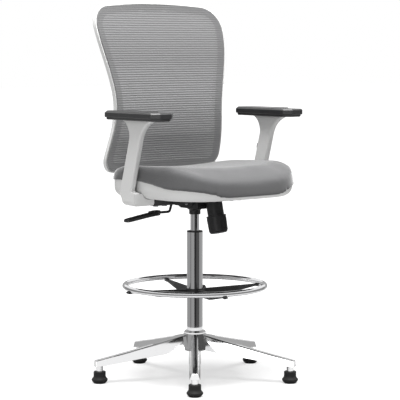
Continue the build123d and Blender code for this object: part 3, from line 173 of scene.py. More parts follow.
def light_room():
    world = bpy.data.worlds.new("room")
    bpy.context.scene.world = world
    world.use_nodes = True
    nodes, links = world.node_tree.nodes, world.node_tree.links
    nodes.clear()
    out = nodes.new("ShaderNodeOutputWorld")
    seen = nodes.new("ShaderNodeBackground")
    fill = nodes.new("ShaderNodeBackground")
    for light, strength in ((seen, 1), (fill, ROOM_LIGHT)):
        light.inputs["Color"].default_value = (1, 1, 1, 1)
        light.inputs["Strength"].default_value = strength
    rays = nodes.new("ShaderNodeLightPath")
    straight_or_mirror = nodes.new("ShaderNodeMath")
    straight_or_mirror.operation = "MAXIMUM"
    or_glass = nodes.new("ShaderNodeMath")
    or_glass.operation = "MAXIMUM"
    choose = nodes.new("ShaderNodeMixShader")
    links.new(rays.outputs["Is Camera Ray"], straight_or_mirror.inputs[0])
    links.new(rays.outputs["Is Glossy Ray"], straight_or_mirror.inputs[1])
    links.new(straight_or_mirror.outputs[0], or_glass.inputs[0])
    links.new(rays.outputs["Is Transmission Ray"], or_glass.inputs[1])
    links.new(or_glass.outputs[0], choose.inputs[0])
    links.new(fill.outputs[0], choose.inputs[1])
    links.new(seen.outputs[0], choose.inputs[2])
    links.new(choose.outputs[0], out.inputs[0])


light_room()
print("room light", ROOM_LIGHT)

# %% Lamps
def soft_lamp(name, place, aim, size, watts):
    lamp = bpy.data.lights.new(name, "AREA")
    lamp.shape = "RECTANGLE"
    lamp.size, lamp.size_y = size
    lamp.energy = watts
    holder = bpy.data.objects.new(name, lamp)
    bpy.context.scene.collection.objects.link(holder)
    holder.location = place
    holder.rotation_euler = (Vector(aim) - Vector(place)).to_track_quat("-Z", "Y").to_euler()
    holder.visible_camera = False
    return holder


overhead = soft_lamp("overhead", place=(-0.25, -0.4, 3.4), aim=(0, -0.05, 0.6), size=(2.4, 2.0), watts=215)
side_fill = soft_lamp("side_fill", place=(-3.2, -1.6, 1.3), aim=(0, 0, 0.75), size=(1.8, 1.4), watts=26)
print("lamps", overhead.name, side_fill.name)

# %% [markdown]
# The floor is a pale grey that takes the chair's shadow. A floor bright enough
# to look white would throw its light back up under the seat, so what the
# camera alone sees of it is lifted instead, and far away it is lifted most.

# %% Floor
FLOOR_FAR = 30
FLOOR_TONE = 0.5
LIFT_NEAR, LIFT_FAR = 0.52, 1.0
LIFT_FROM, LIFT_TO = 0.5, 2.2  # distances from the chair between which the lift grows


def floor_paint():
    paint = bpy.data.materials.new("floor_paint")
    paint.use_nodes = True
    nodes, links = paint.node_tree.nodes, paint.node_tree.links
    body = nodes["Principled BSDF"]
    body.inputs["Base Color"].default_value = (FLOOR_TONE, FLOOR_TONE, FLOOR_TONE, 1)
    body.inputs["Roughness"].default_value = 0.9
    body.inputs["Specular IOR Level"].default_value = 0.0
    body.inputs["Emission Color"].default_value = (1, 1, 1, 1)
    away = nodes.new("ShaderNodeVectorMath")
    away.operation = "LENGTH"
    links.new(nodes.new("ShaderNodeTexCoord").outputs["Object"], away.inputs[0])
    share = nodes.new("ShaderNodeMapRange")
    share.interpolation_type = "SMOOTHSTEP"
    limits = {"From Min": LIFT_FROM, "From Max": LIFT_TO, "To Min": LIFT_NEAR, "To Max": LIFT_FAR}
    for label, value in limits.items():
        share.inputs[label].default_value = value
    links.new(away.outputs["Value"], share.inputs["Value"])
    lift = nodes.new("ShaderNodeMath")
    lift.operation = "MULTIPLY"
    links.new(nodes.new("ShaderNodeLightPath").outputs["Is Camera Ray"], lift.inputs[0])
    links.new(share.outputs["Result"], lift.inputs[1])
    links.new(lift.outputs[0], body.inputs["Emission Strength"])
    return paint


def lay_floor():
    far = FLOOR_FAR
    floor = mesh_piece("floor", [(-far, -far, 0), (far, -far, 0), (far, far, 0), (-far, far, 0)],
                       [(0, 1, 2, 3)], smooth=False)
    floor.data.materials.append(floor_paint())
    return floor


floor = lay_floor()
print("floor at", floor.location.z)

# %% [markdown]
# ## Cards for the chrome
# A plain white room makes chrome look like white paint. The real column has a dark stripe down its middle,
# grey flanks and white rims, so a collar of upright cards stands close round the column, and a small copy of
# it round the hub. Each card glows only on its inner side and is seen only by mirror-like surfaces: it casts
# no shadow and hides nothing from the camera. A low collar round the foot ring, a grey wall further back and
# a dark board under the seat do the same for the ring and the legs. The board is painted shade: a dark sheet
# that the legs and the ring reflect in place of the seat's underside.

# %% Where the cards hang
# name, turn from, turn to, shade; turns are counted from the camera's side
COLUMN_CARDS = [
    ("card_rear_left", -180, -114, 0.42),
    ("card_far_left", -114, -62, 0.34),
    ("card_seam", -62, -51, 0.17),
    ("card_left", -51, -6.6, 0.35),
    ("card_dark", -6.6, 19, 0.03),
    ("card_middle", 19, 62, 0.09),
    ("card_right", 62, 103, 0.37),
    ("card_rear_right", 103, 180, 0.45),
]
# distance from the column, height of the foot, height of the head
COLUMN_COLLAR = (0.15, 0.14, 0.62)
HUB_COLLAR = (0.044, 0.085, 0.14)
RING_COLLAR = (0.30, 0.25, 0.335)
WALL = (2.2, 0.0, 0.75)
OTHER_CARDS = [
    ("wall", 95, 265, 0.42, WALL),
    ("ring_collar", -100, 100, 0.28, RING_COLLAR),
]
CARD_STEPS = 12
BOARD_SIDES = 32
print("cards round the column:", len(COLUMN_CARDS))

# %% Hang the cards
def glow(name, shade):
    """Paint that glows towards its front side and lets rays from behind pass."""
    paint = bpy.data.materials.new(name)
    paint.use_nodes = True
    nodes, links = paint.node_tree.nodes, paint.node_tree.links
    nodes.clear()
    out = nodes.new("ShaderNodeOutputMaterial")
    lit = nodes.new("ShaderNodeEmission")
    lit.inputs["Color"].default_value = (shade, shade, shade, 1)
    clear = nodes.new("ShaderNodeBsdfTransparent")
    pick = nodes.new("ShaderNodeMixShader")
    links.new(nodes.new("ShaderNodeNewGeometry").outputs["Backfacing"], pick.inputs[0])
    links.new(lit.outputs[0], pick.inputs[1])
    links.new(clear.outputs[0], pick.inputs[2])
    links.new(pick.outputs[0], out.inputs[0])
    return paint


def mirror_only(card):
    card.visible_camera = False
    card.visible_diffuse = False
    card.visible_shadow = False
    card.visible_transmission = False
    return card


def hang_card(name, turn_from, turn_to, shade, place):
    """A curved card between two turns, clockwise from above."""
    far, foot, head = place
    corners, faces = [], []
    for step in range(CARD_STEPS + 1):
        turn = math.radians(turn_from + (turn_to - turn_from) * step / CARD_STEPS)
        side = -math.pi / 2 - VIEW_TURN + turn
        x, y = far * math.cos(side), far * math.sin(side)
        corners += [(x, y, foot), (x, y, head)]
    for step in range(CARD_STEPS):
        a = step * 2
        faces.append((a, a + 1, a + 3, a + 2))
    card = mesh_piece(name, corners, faces)
    card.data.materials.append(glow(name, shade))
    return mirror_only(card)


def painted_shade_board(height, reach, shade):
    """A round board that faces down: painted shade, seen only in reflections in place of the seat's
    underside.
    """
    turns = [2 * math.pi * side / BOARD_SIDES for side in range(BOARD_SIDES)]
    corners = [(reach * math.cos(turn), reach * math.sin(turn), height) for turn in turns]
    board = mesh_piece("board", corners, [tuple(reversed(range(BOARD_SIDES)))], smooth=False)
    board.data.materials.append(glow("board", shade))
    return mirror_only(board)


for name, turn_from, turn_to, shade in COLUMN_CARDS:
    hang_card(name, turn_from, turn_to, shade, COLUMN_COLLAR)
    hang_card(name + "_low", turn_from, turn_to, shade, HUB_COLLAR)
for name, turn_from, turn_to, shade, place in OTHER_CARDS:
    hang_card(name, turn_from, turn_to, shade, place)
# painted shade: the legs and the ring reflect this dark board instead of the seat's underside
painted_shade_board(height=0.56, reach=0.42, shade=0.03)
print("cards", [row[0] for row in COLUMN_CARDS + OTHER_CARDS])

# %% [markdown]
# ## Shared effects
# Three effects come back in many finishes: the fine grain of moulded plastic,
# a softened and slightly rubbed edge, and the slow unevenness that every real
# surface has. Each is built once as a node group and placed with its own
# values.

# %% A builder for node groups
def node_group(name, numbers, outputs):
    """An empty group with named number inputs and named outputs."""
    tree = bpy.data.node_groups.new(name, "ShaderNodeTree")
    for label, value in numbers:
        socket = tree.interface.new_socket(label, in_out="INPUT", socket_type="NodeSocketFloat")
        socket.default_value = value
    for label, kind in outputs:
        tree.interface.new_socket(label, in_out="OUTPUT", socket_type=kind)
    start = tree.nodes.new("NodeGroupInput")
    end = tree.nodes.new("NodeGroupOutput")
    print("group", name, "takes", [label for label, value in numbers])
    return tree, start, end


def math_node(tree, work, a, b=None, clamp=False):
    """One arithmetic node: a and b are sockets or plain numbers."""
    node = tree.nodes.new("ShaderNodeMath")
    node.operation = work
    node.use_clamp = clamp
    for slot, value in enumerate((a, b)):
        if value is None:
            continue
        if isinstance(value, (int, float)):
            node.inputs[slot].default_value = value
        else:
            tree.links.new(value, node.inputs[slot])
    return node.outputs[0]


def spread(tree, value, width, start):
    """start where the value is 0, start + width where it is 1."""
    return math_node(tree, "ADD", math_node(tree, "MULTIPLY", value, width), start)


def noise_at(tree, place, scale, detail=3.0, rough=0.55):
    """Noise between 0 and 1; scale is a socket or a plain number."""
    node = tree.nodes.new("ShaderNodeTexNoise")
    node.inputs["Detail"].default_value = detail
    node.inputs["Roughness"].default_value = rough
    tree.links.new(place, node.inputs["Vector"])
    if isinstance(scale, (int, float)):
        node.inputs["Scale"].default_value = scale
    else:
        tree.links.new(scale, node.inputs["Scale"])
    return node.outputs["Fac"]


def object_place(tree):
    """Where on the piece a point lies, in metres."""
    return tree.nodes.new("ShaderNodeTexCoord").outputs["Object"]


# %% Grain of moulded plastic
def make_grain():
    """Spark-eroded mould skin: tiny pits, a slow change of gloss, a slow change of tone."""
    tree, start, end = node_group(
        "moulded_grain",
        [("Grains per metre", 1400.0), ("Pit depth", 0.5), ("Tone change", 0.08)],
        [("Height", "NodeSocketFloat"), ("Tone", "NodeSocketFloat"), ("Gloss shift", "NodeSocketFloat")])
    place = object_place(tree)
    pits = noise_at(tree, place, start.outputs["Grains per metre"], detail=2.0)
    cells = tree.nodes.new("ShaderNodeTexVoronoi")
    tree.links.new(place, cells.inputs["Vector"])
    tree.links.new(start.outputs["Grains per metre"], cells.inputs["Scale"])
    mixed = math_node(tree, "ADD", pits, math_node(tree, "MULTIPLY", cells.outputs["Distance"], 0.6))
    tree.links.new(math_node(tree, "MULTIPLY", mixed, start.outputs["Pit depth"]), end.inputs["Height"])
    slow = math_node(tree, "SUBTRACT", noise_at(tree, place, 9.0, detail=2.0), 0.5)
    tree.links.new(spread(tree, slow, start.outputs["Tone change"], 1.0), end.inputs["Tone"])
    tree.links.new(math_node(tree, "SUBTRACT", noise_at(tree, place, 38.0), 0.5), end.inputs["Gloss shift"])
    return tree


GRAIN = make_grain()

# %% Softened and rubbed edges
def make_edges():
    """A rounded normal at sharp edges, and a mask that is 1 where hands and shoes rub."""
    tree, start, end = node_group(
        "rubbed_edges", [("Edge radius", 0.0007), ("Rub", 0.6)],
        [("Normal", "NodeSocketVector"), ("Rubbed", "NodeSocketFloat")])
    soft = tree.nodes.new("ShaderNodeBevel")
    soft.samples = 4
    tree.links.new(start.outputs["Edge radius"], soft.inputs["Radius"])
    flat = tree.nodes.new("ShaderNodeNewGeometry")
    match = tree.nodes.new("ShaderNodeVectorMath")
    match.operation = "DOT_PRODUCT"
    tree.links.new(soft.outputs["Normal"], match.inputs[0])
    tree.links.new(flat.outputs["Normal"], match.inputs[1])
    bend = math_node(tree, "SUBTRACT", 1.0, match.outputs["Value"], clamp=True)
    broken = noise_at(tree, object_place(tree), 160.0, detail=4.0)
    ragged = math_node(tree, "MULTIPLY", math_node(tree, "MULTIPLY", bend, 6.0), broken)
    rubbed = math_node(tree, "MULTIPLY", ragged, start.outputs["Rub"], clamp=True)
    tree.links.new(rubbed, end.inputs["Rubbed"])
    tree.links.new(soft.outputs["Normal"], end.inputs["Normal"])
    return tree


EDGES = make_edges()

# %% Settled dust and handling
def make_handling():
    """Faint smears that only change the gloss, and a trace of dust on what faces up."""
    tree, start, end = node_group(
        "handling", [("Smears", 0.1), ("Dust", 0.05)],
        [("Gloss shift", "NodeSocketFloat"), ("Dusty", "NodeSocketFloat")])
    place = object_place(tree)
    wide = noise_at(tree, place, 14.0, detail=5.0, rough=0.7)
    smear = math_node(tree, "MULTIPLY", math_node(tree, "SUBTRACT", wide, 0.45, clamp=True), 2.0)
    tree.links.new(math_node(tree, "MULTIPLY", smear, start.outputs["Smears"]), end.inputs["Gloss shift"])
    facing = tree.nodes.new("ShaderNodeSeparateXYZ")
    tree.links.new(tree.nodes.new("ShaderNodeNewGeometry").outputs["Normal"], facing.inputs[0])
    patchy = noise_at(tree, place, 60.0, detail=5.0)
    level = math_node(tree, "MULTIPLY", facing.outputs["Z"], patchy, clamp=True)
    dusty = math_node(tree, "MULTIPLY", level, start.outputs["Dust"], clamp=True)
    tree.links.new(dusty, end.inputs["Dusty"])
    return tree


HANDLING = make_handling()

# %% [markdown]
# ## Finishes
# Every finish starts from the same plain material and wires the shared
# effects into it. What differs is the colour, the gloss and how fine the
# grain is.

# %% A plain material to start from
DUST = (0.55, 0.54, 0.52)


def plain(name, metallic=0.0, specular=0.5):
    material = bpy.data.materials.new(name)
    material.use_nodes = True
    body = material.node_tree.nodes["Principled BSDF"]
    body.inputs["Metallic"].default_value = metallic
    body.inputs["Specular IOR Level"].default_value = specular
    print("material", name)
    return material, material.node_tree, body


def place_group(tree, group, **values):
    """A shared effect with its own values, named with underscores for spaces."""
    node = tree.nodes.new("ShaderNodeGroup")
    node.node_tree = group
    for label, value in values.items():
        node.inputs[label.replace("_", " ")].default_value = value
    return node


def tint(tree, colour, amount):
    """colour times a tone that varies over the surface."""
    node = tree.nodes.new("ShaderNodeMix")
    node.data_type = "RGBA"
    node.blend_type = "MULTIPLY"
    node.inputs["Factor"].default_value = 1.0
    node.inputs["A"].default_value = (*colour, 1)
    tree.links.new(amount, node.inputs["B"])
    return node.outputs["Result"]


def toward(tree, colour, other, mask):
    """colour where mask is 0, other where it is 1."""
    node = tree.nodes.new("ShaderNodeMix")
    node.data_type = "RGBA"
    tree.links.new(mask, node.inputs["Factor"])
    tree.links.new(colour, node.inputs["A"])
    node.inputs["B"].default_value = (*other, 1)
    return node.outputs["Result"]


def raised(tree, height, distance, strength=1.0, normal=None):
    """A normal bent as if the height stood up by distance."""
    node = tree.nodes.new("ShaderNodeBump")
    node.inputs["Strength"].default_value = strength
    node.inputs["Distance"].default_value = distance
    tree.links.new(height, node.inputs["Height"])
    if normal is not None:
        tree.links.new(normal, node.inputs["Normal"])
    return node.outputs["Normal"]


def stretched_place(tree, scale):
    """Object place with each axis drawn out or pressed together, for lines and fibres."""
    stretch = tree.nodes.new("ShaderNodeMapping")
    stretch.inputs["Scale"].default_value = scale
    tree.links.new(object_place(tree), stretch.inputs["Vector"])
    return stretch.outputs["Vector"]


# %% [markdown]
# Most of what the hand touches is moulded: the light grey shell, frame and
# arms, and the black grips, pads and caps. One recipe makes them all. It
# differs by how coarse the mould's grain is and how round the edges are.

# %% Moulded plastic
def moulded(name, colour, worn, rough, grains, depth, edge, rub=0.5, dust=0.04, specular=0.5):
    """Plastic out of a grained mould, its edges rounded and a little rubbed."""
    material, tree, body = plain(name, specular=specular)
    grain = place_group(tree, GRAIN, Grains_per_metre=grains, Pit_depth=1.0, Tone_change=0.10)
    edges = place_group(tree, EDGES, Edge_radius=edge, Rub=rub)
    touch = place_group(tree, HANDLING, Smears=0.10, Dust=dust)
    base = tint(tree, colour, grain.outputs["Tone"])
    base = toward(tree, base, worn, edges.outputs["Rubbed"])
    base = toward(tree, base, DUST, touch.outputs["Dusty"])
    tree.links.new(base, body.inputs["Base Color"])
    gloss = spread(tree, grain.outputs["Gloss shift"], 0.14, rough)
    gloss = math_node(tree, "SUBTRACT", gloss, touch.outputs["Gloss shift"], clamp=True)
    tree.links.new(gloss, body.inputs["Roughness"])
    tree.links.new(raised(tree, grain.outputs["Height"], depth, normal=edges.outputs["Normal"]),
                   body.inputs["Normal"])
    return material


light_plastic = moulded(
    "light_grey_plastic", colour=(0.62, 0.62, 0.615), worn=(0.68, 0.68, 0.67),
    rough=0.42, grains=1500, depth=0.00005, edge=0.0012, rub=0.3)
black_plastic = moulded(
    "black_plastic", colour=(0.014, 0.014, 0.015), worn=(0.05, 0.05, 0.05),
    rough=0.50, grains=1300, depth=0.00007, edge=0.0007)
pad_skin = moulded(
    "arm_pad_skin", colour=(0.010, 0.010, 0.011), worn=(0.04, 0.04, 0.04),
    rough=0.38, grains=1900, depth=0.00006, edge=0.0012, rub=0.2)
glide_plastic = moulded(
    "glide_plastic", colour=(0.012, 0.012, 0.012), worn=(0.03, 0.03, 0.03),
    rough=0.6, grains=900, depth=0.00008, edge=0.0010, rub=0.3, specular=0.2)
black_steel = moulded(
    "black_powder_coat", colour=(0.018, 0.018, 0.019), worn=(0.10, 0.10, 0.10),
    rough=0.44, grains=900, depth=0.00010, edge=0.0008, rub=0.6)
rubber = moulded(
    "black_rubber", colour=(0.016, 0.016, 0.016), worn=(0.04, 0.04, 0.04),
    rough=0.72, grains=700, depth=0.00010, edge=0.0008, rub=0.2)

# %% [markdown]
# The tubes are plated and the star base is cast and polished. Both are nearly
# mirrors. A slow ripple, hardly there, keeps the reflections from being as
# straight as a ruler, which no real tube shows.

# %% Chrome and polished aluminium
def mirror_metal(name, colour, rough, smears, edge, ripple):
    """Plated or polished metal: almost a mirror, never quite flat."""
    material, tree, body = plain(name, metallic=1.0)
    touch = place_group(tree, HANDLING, Smears=smears, Dust=0.02)
    edges = place_group(tree, EDGES, Edge_radius=edge, Rub=0.0)
    slow = noise_at(tree, object_place(tree), 11.0, detail=1.0)
    base = tint(tree, colour, spread(tree, slow, 0.06, 0.97))
    base = toward(tree, base, (0.6, 0.6, 0.6), touch.outputs["Dusty"])
    tree.links.new(base, body.inputs["Base Color"])
    tree.links.new(math_node(tree, "ADD", touch.outputs["Gloss shift"], rough), body.inputs["Roughness"])
    tree.links.new(raised(tree, slow, ripple, normal=edges.outputs["Normal"]), body.inputs["Normal"])
    return material


chrome = mirror_metal(
    "chrome", colour=(0.80, 0.80, 0.81), rough=0.05, smears=0.05, edge=0.0004, ripple=0.0004)
polished = mirror_metal(
    "polished_aluminium", colour=(0.86, 0.86, 0.865), rough=0.09, smears=0.08, edge=0.0012, ripple=0.0006)

# %% [markdown]
# Screws, pins and the spring are zinc-plated steel that came off a lathe, so
# fine lines run round them. The pan under the cushion is birch plywood, whose
# plies show as thin stripes at its edge. Both are noise drawn out along one
# axis and pressed together along another.

# %% Steel and plywood
def turned_steel(name, colour, rough, lines):
    """Bright fastener steel with fine machining lines round its height."""
    material, tree, body = plain(name, metallic=1.0)
    edges = place_group(tree, EDGES, Edge_radius=0.0003, Rub=0.4)
    scored = noise_at(tree, stretched_place(tree, (20, 20, lines)), 6.0, detail=2.0)
    base = tint(tree, colour, spread(tree, scored, 0.2, 0.9))
    base = toward(tree, base, (0.75, 0.75, 0.75), edges.outputs["Rubbed"])
    tree.links.new(base, body.inputs["Base Color"])
    tree.links.new(spread(tree, scored, 0.12, rough), body.inputs["Roughness"])
    tree.links.new(raised(tree, scored, 0.00003, normal=edges.outputs["Normal"]), body.inputs["Normal"])
    return material


def plywood_finish():
    """Birch plywood: pale plies stacked up its edge, long grain on its face."""
    material, tree, body = plain("birch_plywood")
    fibres = noise_at(tree, stretched_place(tree, (6, 90, 700)), 1.0, detail=4.0)
    ramp = tree.nodes.new("ShaderNodeValToRGB")
    ramp.color_ramp.elements[0].color = (0.42, 0.27, 0.14, 1)
    ramp.color_ramp.elements[1].color = (0.70, 0.52, 0.33, 1)
    tree.links.new(fibres, ramp.inputs["Fac"])
    tree.links.new(ramp.outputs["Color"], body.inputs["Base Color"])
    tree.links.new(spread(tree, fibres, 0.2, 0.5), body.inputs["Roughness"])
    tree.links.new(raised(tree, fibres, 0.0002), body.inputs["Normal"])
    return material


zinc = turned_steel("zinc_steel", colour=(0.56, 0.56, 0.58), rough=0.28, lines=900)
plywood = plywood_finish()

# %% [markdown]
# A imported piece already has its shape, so dressing it is only a choice of
# finish. The pieces are listed by what they are made of.

# %% Put the finishes on the hard pieces
finish_nodes(["base_star"], polished)
finish_nodes(["column_tube", "pressure_tube", "foot_ring"], chrome)
finish_nodes([
    "glide_stems", "bearing_race_lower", "bearing_race_upper", "bearing_balls", "piston_rod",
    "piston", "rod_clip", "tilt_axle", "axle_clips", "tension_bolt", "barrel_nut",
    "tension_spring", "valve_pin", "ring_knob_stud", "ring_screws", "seat_screws",
    "shell_screws", "arm_bolts", "bar_screws", "back_bolts", "arm_pad_screws_left",
    "arm_pad_screws_right", "arm_post_left", "arm_post_right"], zinc)
finish_nodes(["mechanism_housing", "seat_plate", "arm_struts", "back_bar", "lever_rod"], black_steel)
finish_nodes(["glides"], glide_plastic)
finish_nodes([
    "guide_bush", "ring_spider", "ring_knob", "spring_cover", "tension_knob", "lever_paddle",
    "valve_actuator", "arm_button_left", "arm_button_right", "arm_pad_base_left",
    "arm_pad_base_right", "ring_liner", "tube_seal"], black_plastic)
finish_nodes(["bump_rubber"], rubber)
finish_nodes(["arm_pad_left", "arm_pad_right"], pad_skin)
finish_nodes([
    "seat_shell", "arm_sleeve_left", "arm_sleeve_right", "arm_bracket_left",
    "arm_bracket_right", "back_frame"], light_plastic)
finish_nodes(["seat_pan"], plywood)

# %% [markdown]
# ## The spring under the seat
# When the seat leans back, the knob is drawn up against its spring. The spring's upper end stays where it is,
# so the coil is flattened towards it. Here the spring only gets a mesh of its own, and its length along its
# axis is measured.

# %% Measure the spring
SPRING_LEAN = math.radians(14)
SPRING_AXIS = Vector((0, math.sin(SPRING_LEAN), math.cos(SPRING_LEAN)))


def give_spring():
    spring = NODES["tension_spring"]
    corners = [spring.matrix_world @ vertex.co for vertex in spring.data.vertices]
    reach = [SPRING_AXIS.dot(corner) for corner in corners]
    length = max(reach) - min(reach)
    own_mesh(spring)
    return length


print("spring length", round(give_spring() * 1000, 1), "mm")

# %% [markdown]
# ## The mesh of the back
# The back is one stretched sheet of elastic knit. Fine cords run from side to
# side and stand a little proud, and slim gaps between them let air through. It
# could be a flat sheet with a picture of ribs, but then its edge and its shine
# would be wrong, so the cords are real relief: the sheet is laid row by row on
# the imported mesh, and a small Geometry Nodes tree lifts every row that lies on
# a cord.

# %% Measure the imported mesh
def triangles_of(node):
    """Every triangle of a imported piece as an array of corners."""
    data = NODES[node].data
    data.calc_loop_triangles()
    corners = np.array([v.co[:] for v in data.vertices])
    return corners[np.array([t.vertices[:] for t in data.loop_triangles])]


def span_at(triangles, height):
    """Lowest and highest x of the piece where a level plane cuts it."""
    low, high = 1.0, -1.0
    for a, b in ((0, 1), (1, 2), (2, 0)):
        start, end = triangles[:, a], triangles[:, b]
        cut = (start[:, 2] - height) * (end[:, 2] - height) < 0
        if cut.any():
            share = (height - start[cut, 2]) / (end[cut, 2] - start[cut, 2])
            x = start[cut, 0] + (end[cut, 0] - start[cut, 0]) * share
            low, high = min(low, x.min()), max(high, x.max())
    return low, high


mesh_triangles = triangles_of("back_mesh")
mesh_low, mesh_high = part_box("back_mesh")
MESH_TALL = mesh_high.z - mesh_low.z

# %% [markdown]
# Eight rows of faces make one cord and one gap. Every row spans the packed
# mesh from side to side at its own height, and every corner is dropped onto
# its front. Each corner also remembers how far it lies inside the outline,
# because near the frame the knit is plain.

# %% Rows and columns of the sheet
CORD_SPACING = 0.0073
ROWS_PER_CORD = 8
END_TRIM = 0.0002  # rows stop this far inside the mesh's ends
SIDE_TRIM = 0.0006  # corners are measured this far inside its sides
COLUMNS = 56
TOWARD_SIDES = 0.6  # how strongly the columns crowd towards the sides
POINTS_ON_TOP, POINTS_ON_FOOT = 40, 120


def mesh_rows():
    """Level rows from bottom to top: height, and the span of the sheet there."""
    tall = MESH_TALL - 2 * END_TRIM
    count = int(tall / (CORD_SPACING / ROWS_PER_CORD))
    heights = mesh_low.z + END_TRIM + tall * np.arange(count + 1) / count
    return [(height, *span_at(mesh_triangles, height)) for height in heights]


def columns_between(low, high):
    """x of each column, the outer ones closer together."""
    even = np.arange(COLUMNS + 1) / COLUMNS
    crowded = 0.5 - 0.5 * np.cos(math.pi * even)
    return low + (high - low) * (TOWARD_SIDES * crowded + (1 - TOWARD_SIDES) * even)


def sheet_outline(rows):
    """Points (x, z) all round the sheet."""
    points = [(low, height) for height, low, high in rows]
    points += [(high, height) for height, low, high in rows]
    for (height, low, high), count in ((rows[-1], POINTS_ON_TOP), (rows[0], POINTS_ON_FOOT)):
        points += [(x, height) for x in np.linspace(low, high, count)]
    return np.array(points)


SHEET_ROWS = mesh_rows()
print("rows:", len(SHEET_ROWS), "points round the outline:", len(sheet_outline(SHEET_ROWS)))

# %% Lay the sheet
def edge_distance(x, z, outline):
    """How far a point of the sheet lies inside its outline."""
    return float(np.sqrt(((outline - (x, z)) ** 2).sum(axis=1)).min())


def lay_corners(rows):
    """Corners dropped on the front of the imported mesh, and their edge distances."""
    front = merged_copy("back_mesh")
    tree = BVHTree.FromBMesh(front)
    outline = sheet_outline(rows)
    lowest, highest = rows[2][0], rows[-3][0]  # beyond these a ray could miss the mesh
    corners, border = [], []
    for height, low, high in rows:
        for x in columns_between(low, high):
            inner = min(max(x, low + SIDE_TRIM), high - SIDE_TRIM)
            before = Vector((inner, -1.0, min(max(height, lowest), highest)))
            hit = tree.ray_cast(before, Vector((0, 1, 0)))
            corners.append((x, hit[0].y, height))
            border.append(edge_distance(x, height, outline))
    front.free()
    return corners, border


def lay_mesh(rows):
    corners, border = lay_corners(rows)
    wide = COLUMNS + 1
    faces = []
    for row in range(len(rows) - 1):
        for column in range(COLUMNS):
            a = row * wide + column
            faces.append((a, a + 1, a + 1 + wide, a + wide))
    sheet = mesh_piece("back_sheet", corners, faces)
    layer = sheet.data.attributes.new("edge_distance", "FLOAT", "POINT")
    layer.data.foreach_set("value", border)
    return sheet


back_sheet = lay_mesh(SHEET_ROWS)
count_faces(back_sheet)

# %% [markdown]
# The tree has three named sizes: the spacing of the cords, their height, and
# the width of the plain border where the knit is bonded to the frame.

# %% Lift the cords
CORD_HEIGHT = 0.0009
BORDER_WIDTH = 0.026
BORDER_CURVE = 6.0  # how late, going inwards, the cords reach their full height
FLAT_SHARE = 0.4  # what the border keeps of a cord's height


def cord_wave(tree, height, spacing):
    """1 on the middle of a cord, 0 in the middle of a gap."""
    turns = math_node(tree, "MULTIPLY", math_node(tree, "DIVIDE", height, spacing), 2 * math.pi)
    return math_node(tree, "MULTIPLY", math_node(tree, "ADD", math_node(tree, "COSINE", turns), 1.0), 0.5)


def cord_tree(cloth):
    tree = bpy.data.node_groups.new("knit_cords", "GeometryNodeTree")
    tree.interface.new_socket("Geometry", in_out="INPUT", socket_type="NodeSocketGeometry")
    sizes = {"Cord spacing": CORD_SPACING, "Cord height": CORD_HEIGHT, "Border": BORDER_WIDTH}
    for label, value in sizes.items():
        socket = tree.interface.new_socket(label, in_out="INPUT", socket_type="NodeSocketFloat")
        socket.default_value = value
    tree.interface.new_socket("Geometry", in_out="OUTPUT", socket_type="NodeSocketGeometry")
    start = tree.nodes.new("NodeGroupInput")
    end = tree.nodes.new("NodeGroupOutput")
    where = tree.nodes.new("ShaderNodeSeparateXYZ")
    tree.links.new(tree.nodes.new("GeometryNodeInputPosition").outputs[0], where.inputs[0])
    rise = cord_wave(tree, where.outputs["Z"], start.outputs["Cord spacing"])
    edge = tree.nodes.new("GeometryNodeInputNamedAttribute")
    edge.data_type = "FLOAT"
    edge.inputs["Name"].default_value = "edge_distance"
    inside = math_node(tree, "DIVIDE", edge.outputs["Attribute"], start.outputs["Border"], clamp=True)
    inside = spread(tree, math_node(tree, "POWER", inside, BORDER_CURVE), 1 - FLAT_SHARE, FLAT_SHARE)
    lift = math_node(tree, "MULTIPLY", rise, start.outputs["Cord height"])
    lift = math_node(tree, "MULTIPLY", lift, inside)
    move = tree.nodes.new("ShaderNodeCombineXYZ")
    tree.links.new(math_node(tree, "MULTIPLY", lift, -1.0), move.inputs["Y"])
    place = tree.nodes.new("GeometryNodeSetPosition")
    tree.links.new(start.outputs["Geometry"], place.inputs["Geometry"])
    tree.links.new(move.outputs[0], place.inputs["Offset"])
    real = tree.nodes.new("GeometryNodeRealizeInstances")
    tree.links.new(place.outputs[0], real.inputs[0])
    paint = tree.nodes.new("GeometryNodeSetMaterial")
    paint.inputs["Material"].default_value = cloth
    tree.links.new(real.outputs[0], paint.inputs["Geometry"])
    tree.links.new(paint.outputs[0], end.inputs["Geometry"])
    return tree


print("cords on the sheet:", round(MESH_TALL / CORD_SPACING), "each", round(CORD_HEIGHT * 1000, 1), "mm high")

# %% [markdown]
# The cords are painted paler than the gaps between them, as painted light on the cords and painted shade in
# the gaps, and the gaps are half open, which is an Alpha that follows the same wave as the relief. The border
# is painted darker, as painted shade where the knit wraps the frame. The yarn is painted paler towards the
# seat, as painted light where less light falls on it.

# %% Colour the knit
KNIT_GREY = (0.172, 0.172, 0.174)
THREAD_SPACING = 0.0024
# Inside this distance from the edge the knit is bonded and closed, and its yarn is painted darker: painted
# shade where the knit wraps the frame.
BOND_AND_SHADE_WIDTH, BOND_AND_SHADE_BLEND = BORDER_WIDTH - 0.003, 0.004
# painted light: below this height the yarn is painted paler, more for each metre lower, where less light
# falls on it
PAINTED_LIGHT_BELOW = 1.0
PAINTED_LIGHT_GAIN = 4.2  # how much paler, for each metre below that height
GAP_FROM = 0.55  # the wave's height under which a gap begins
SEEN_THROUGH = 0.25


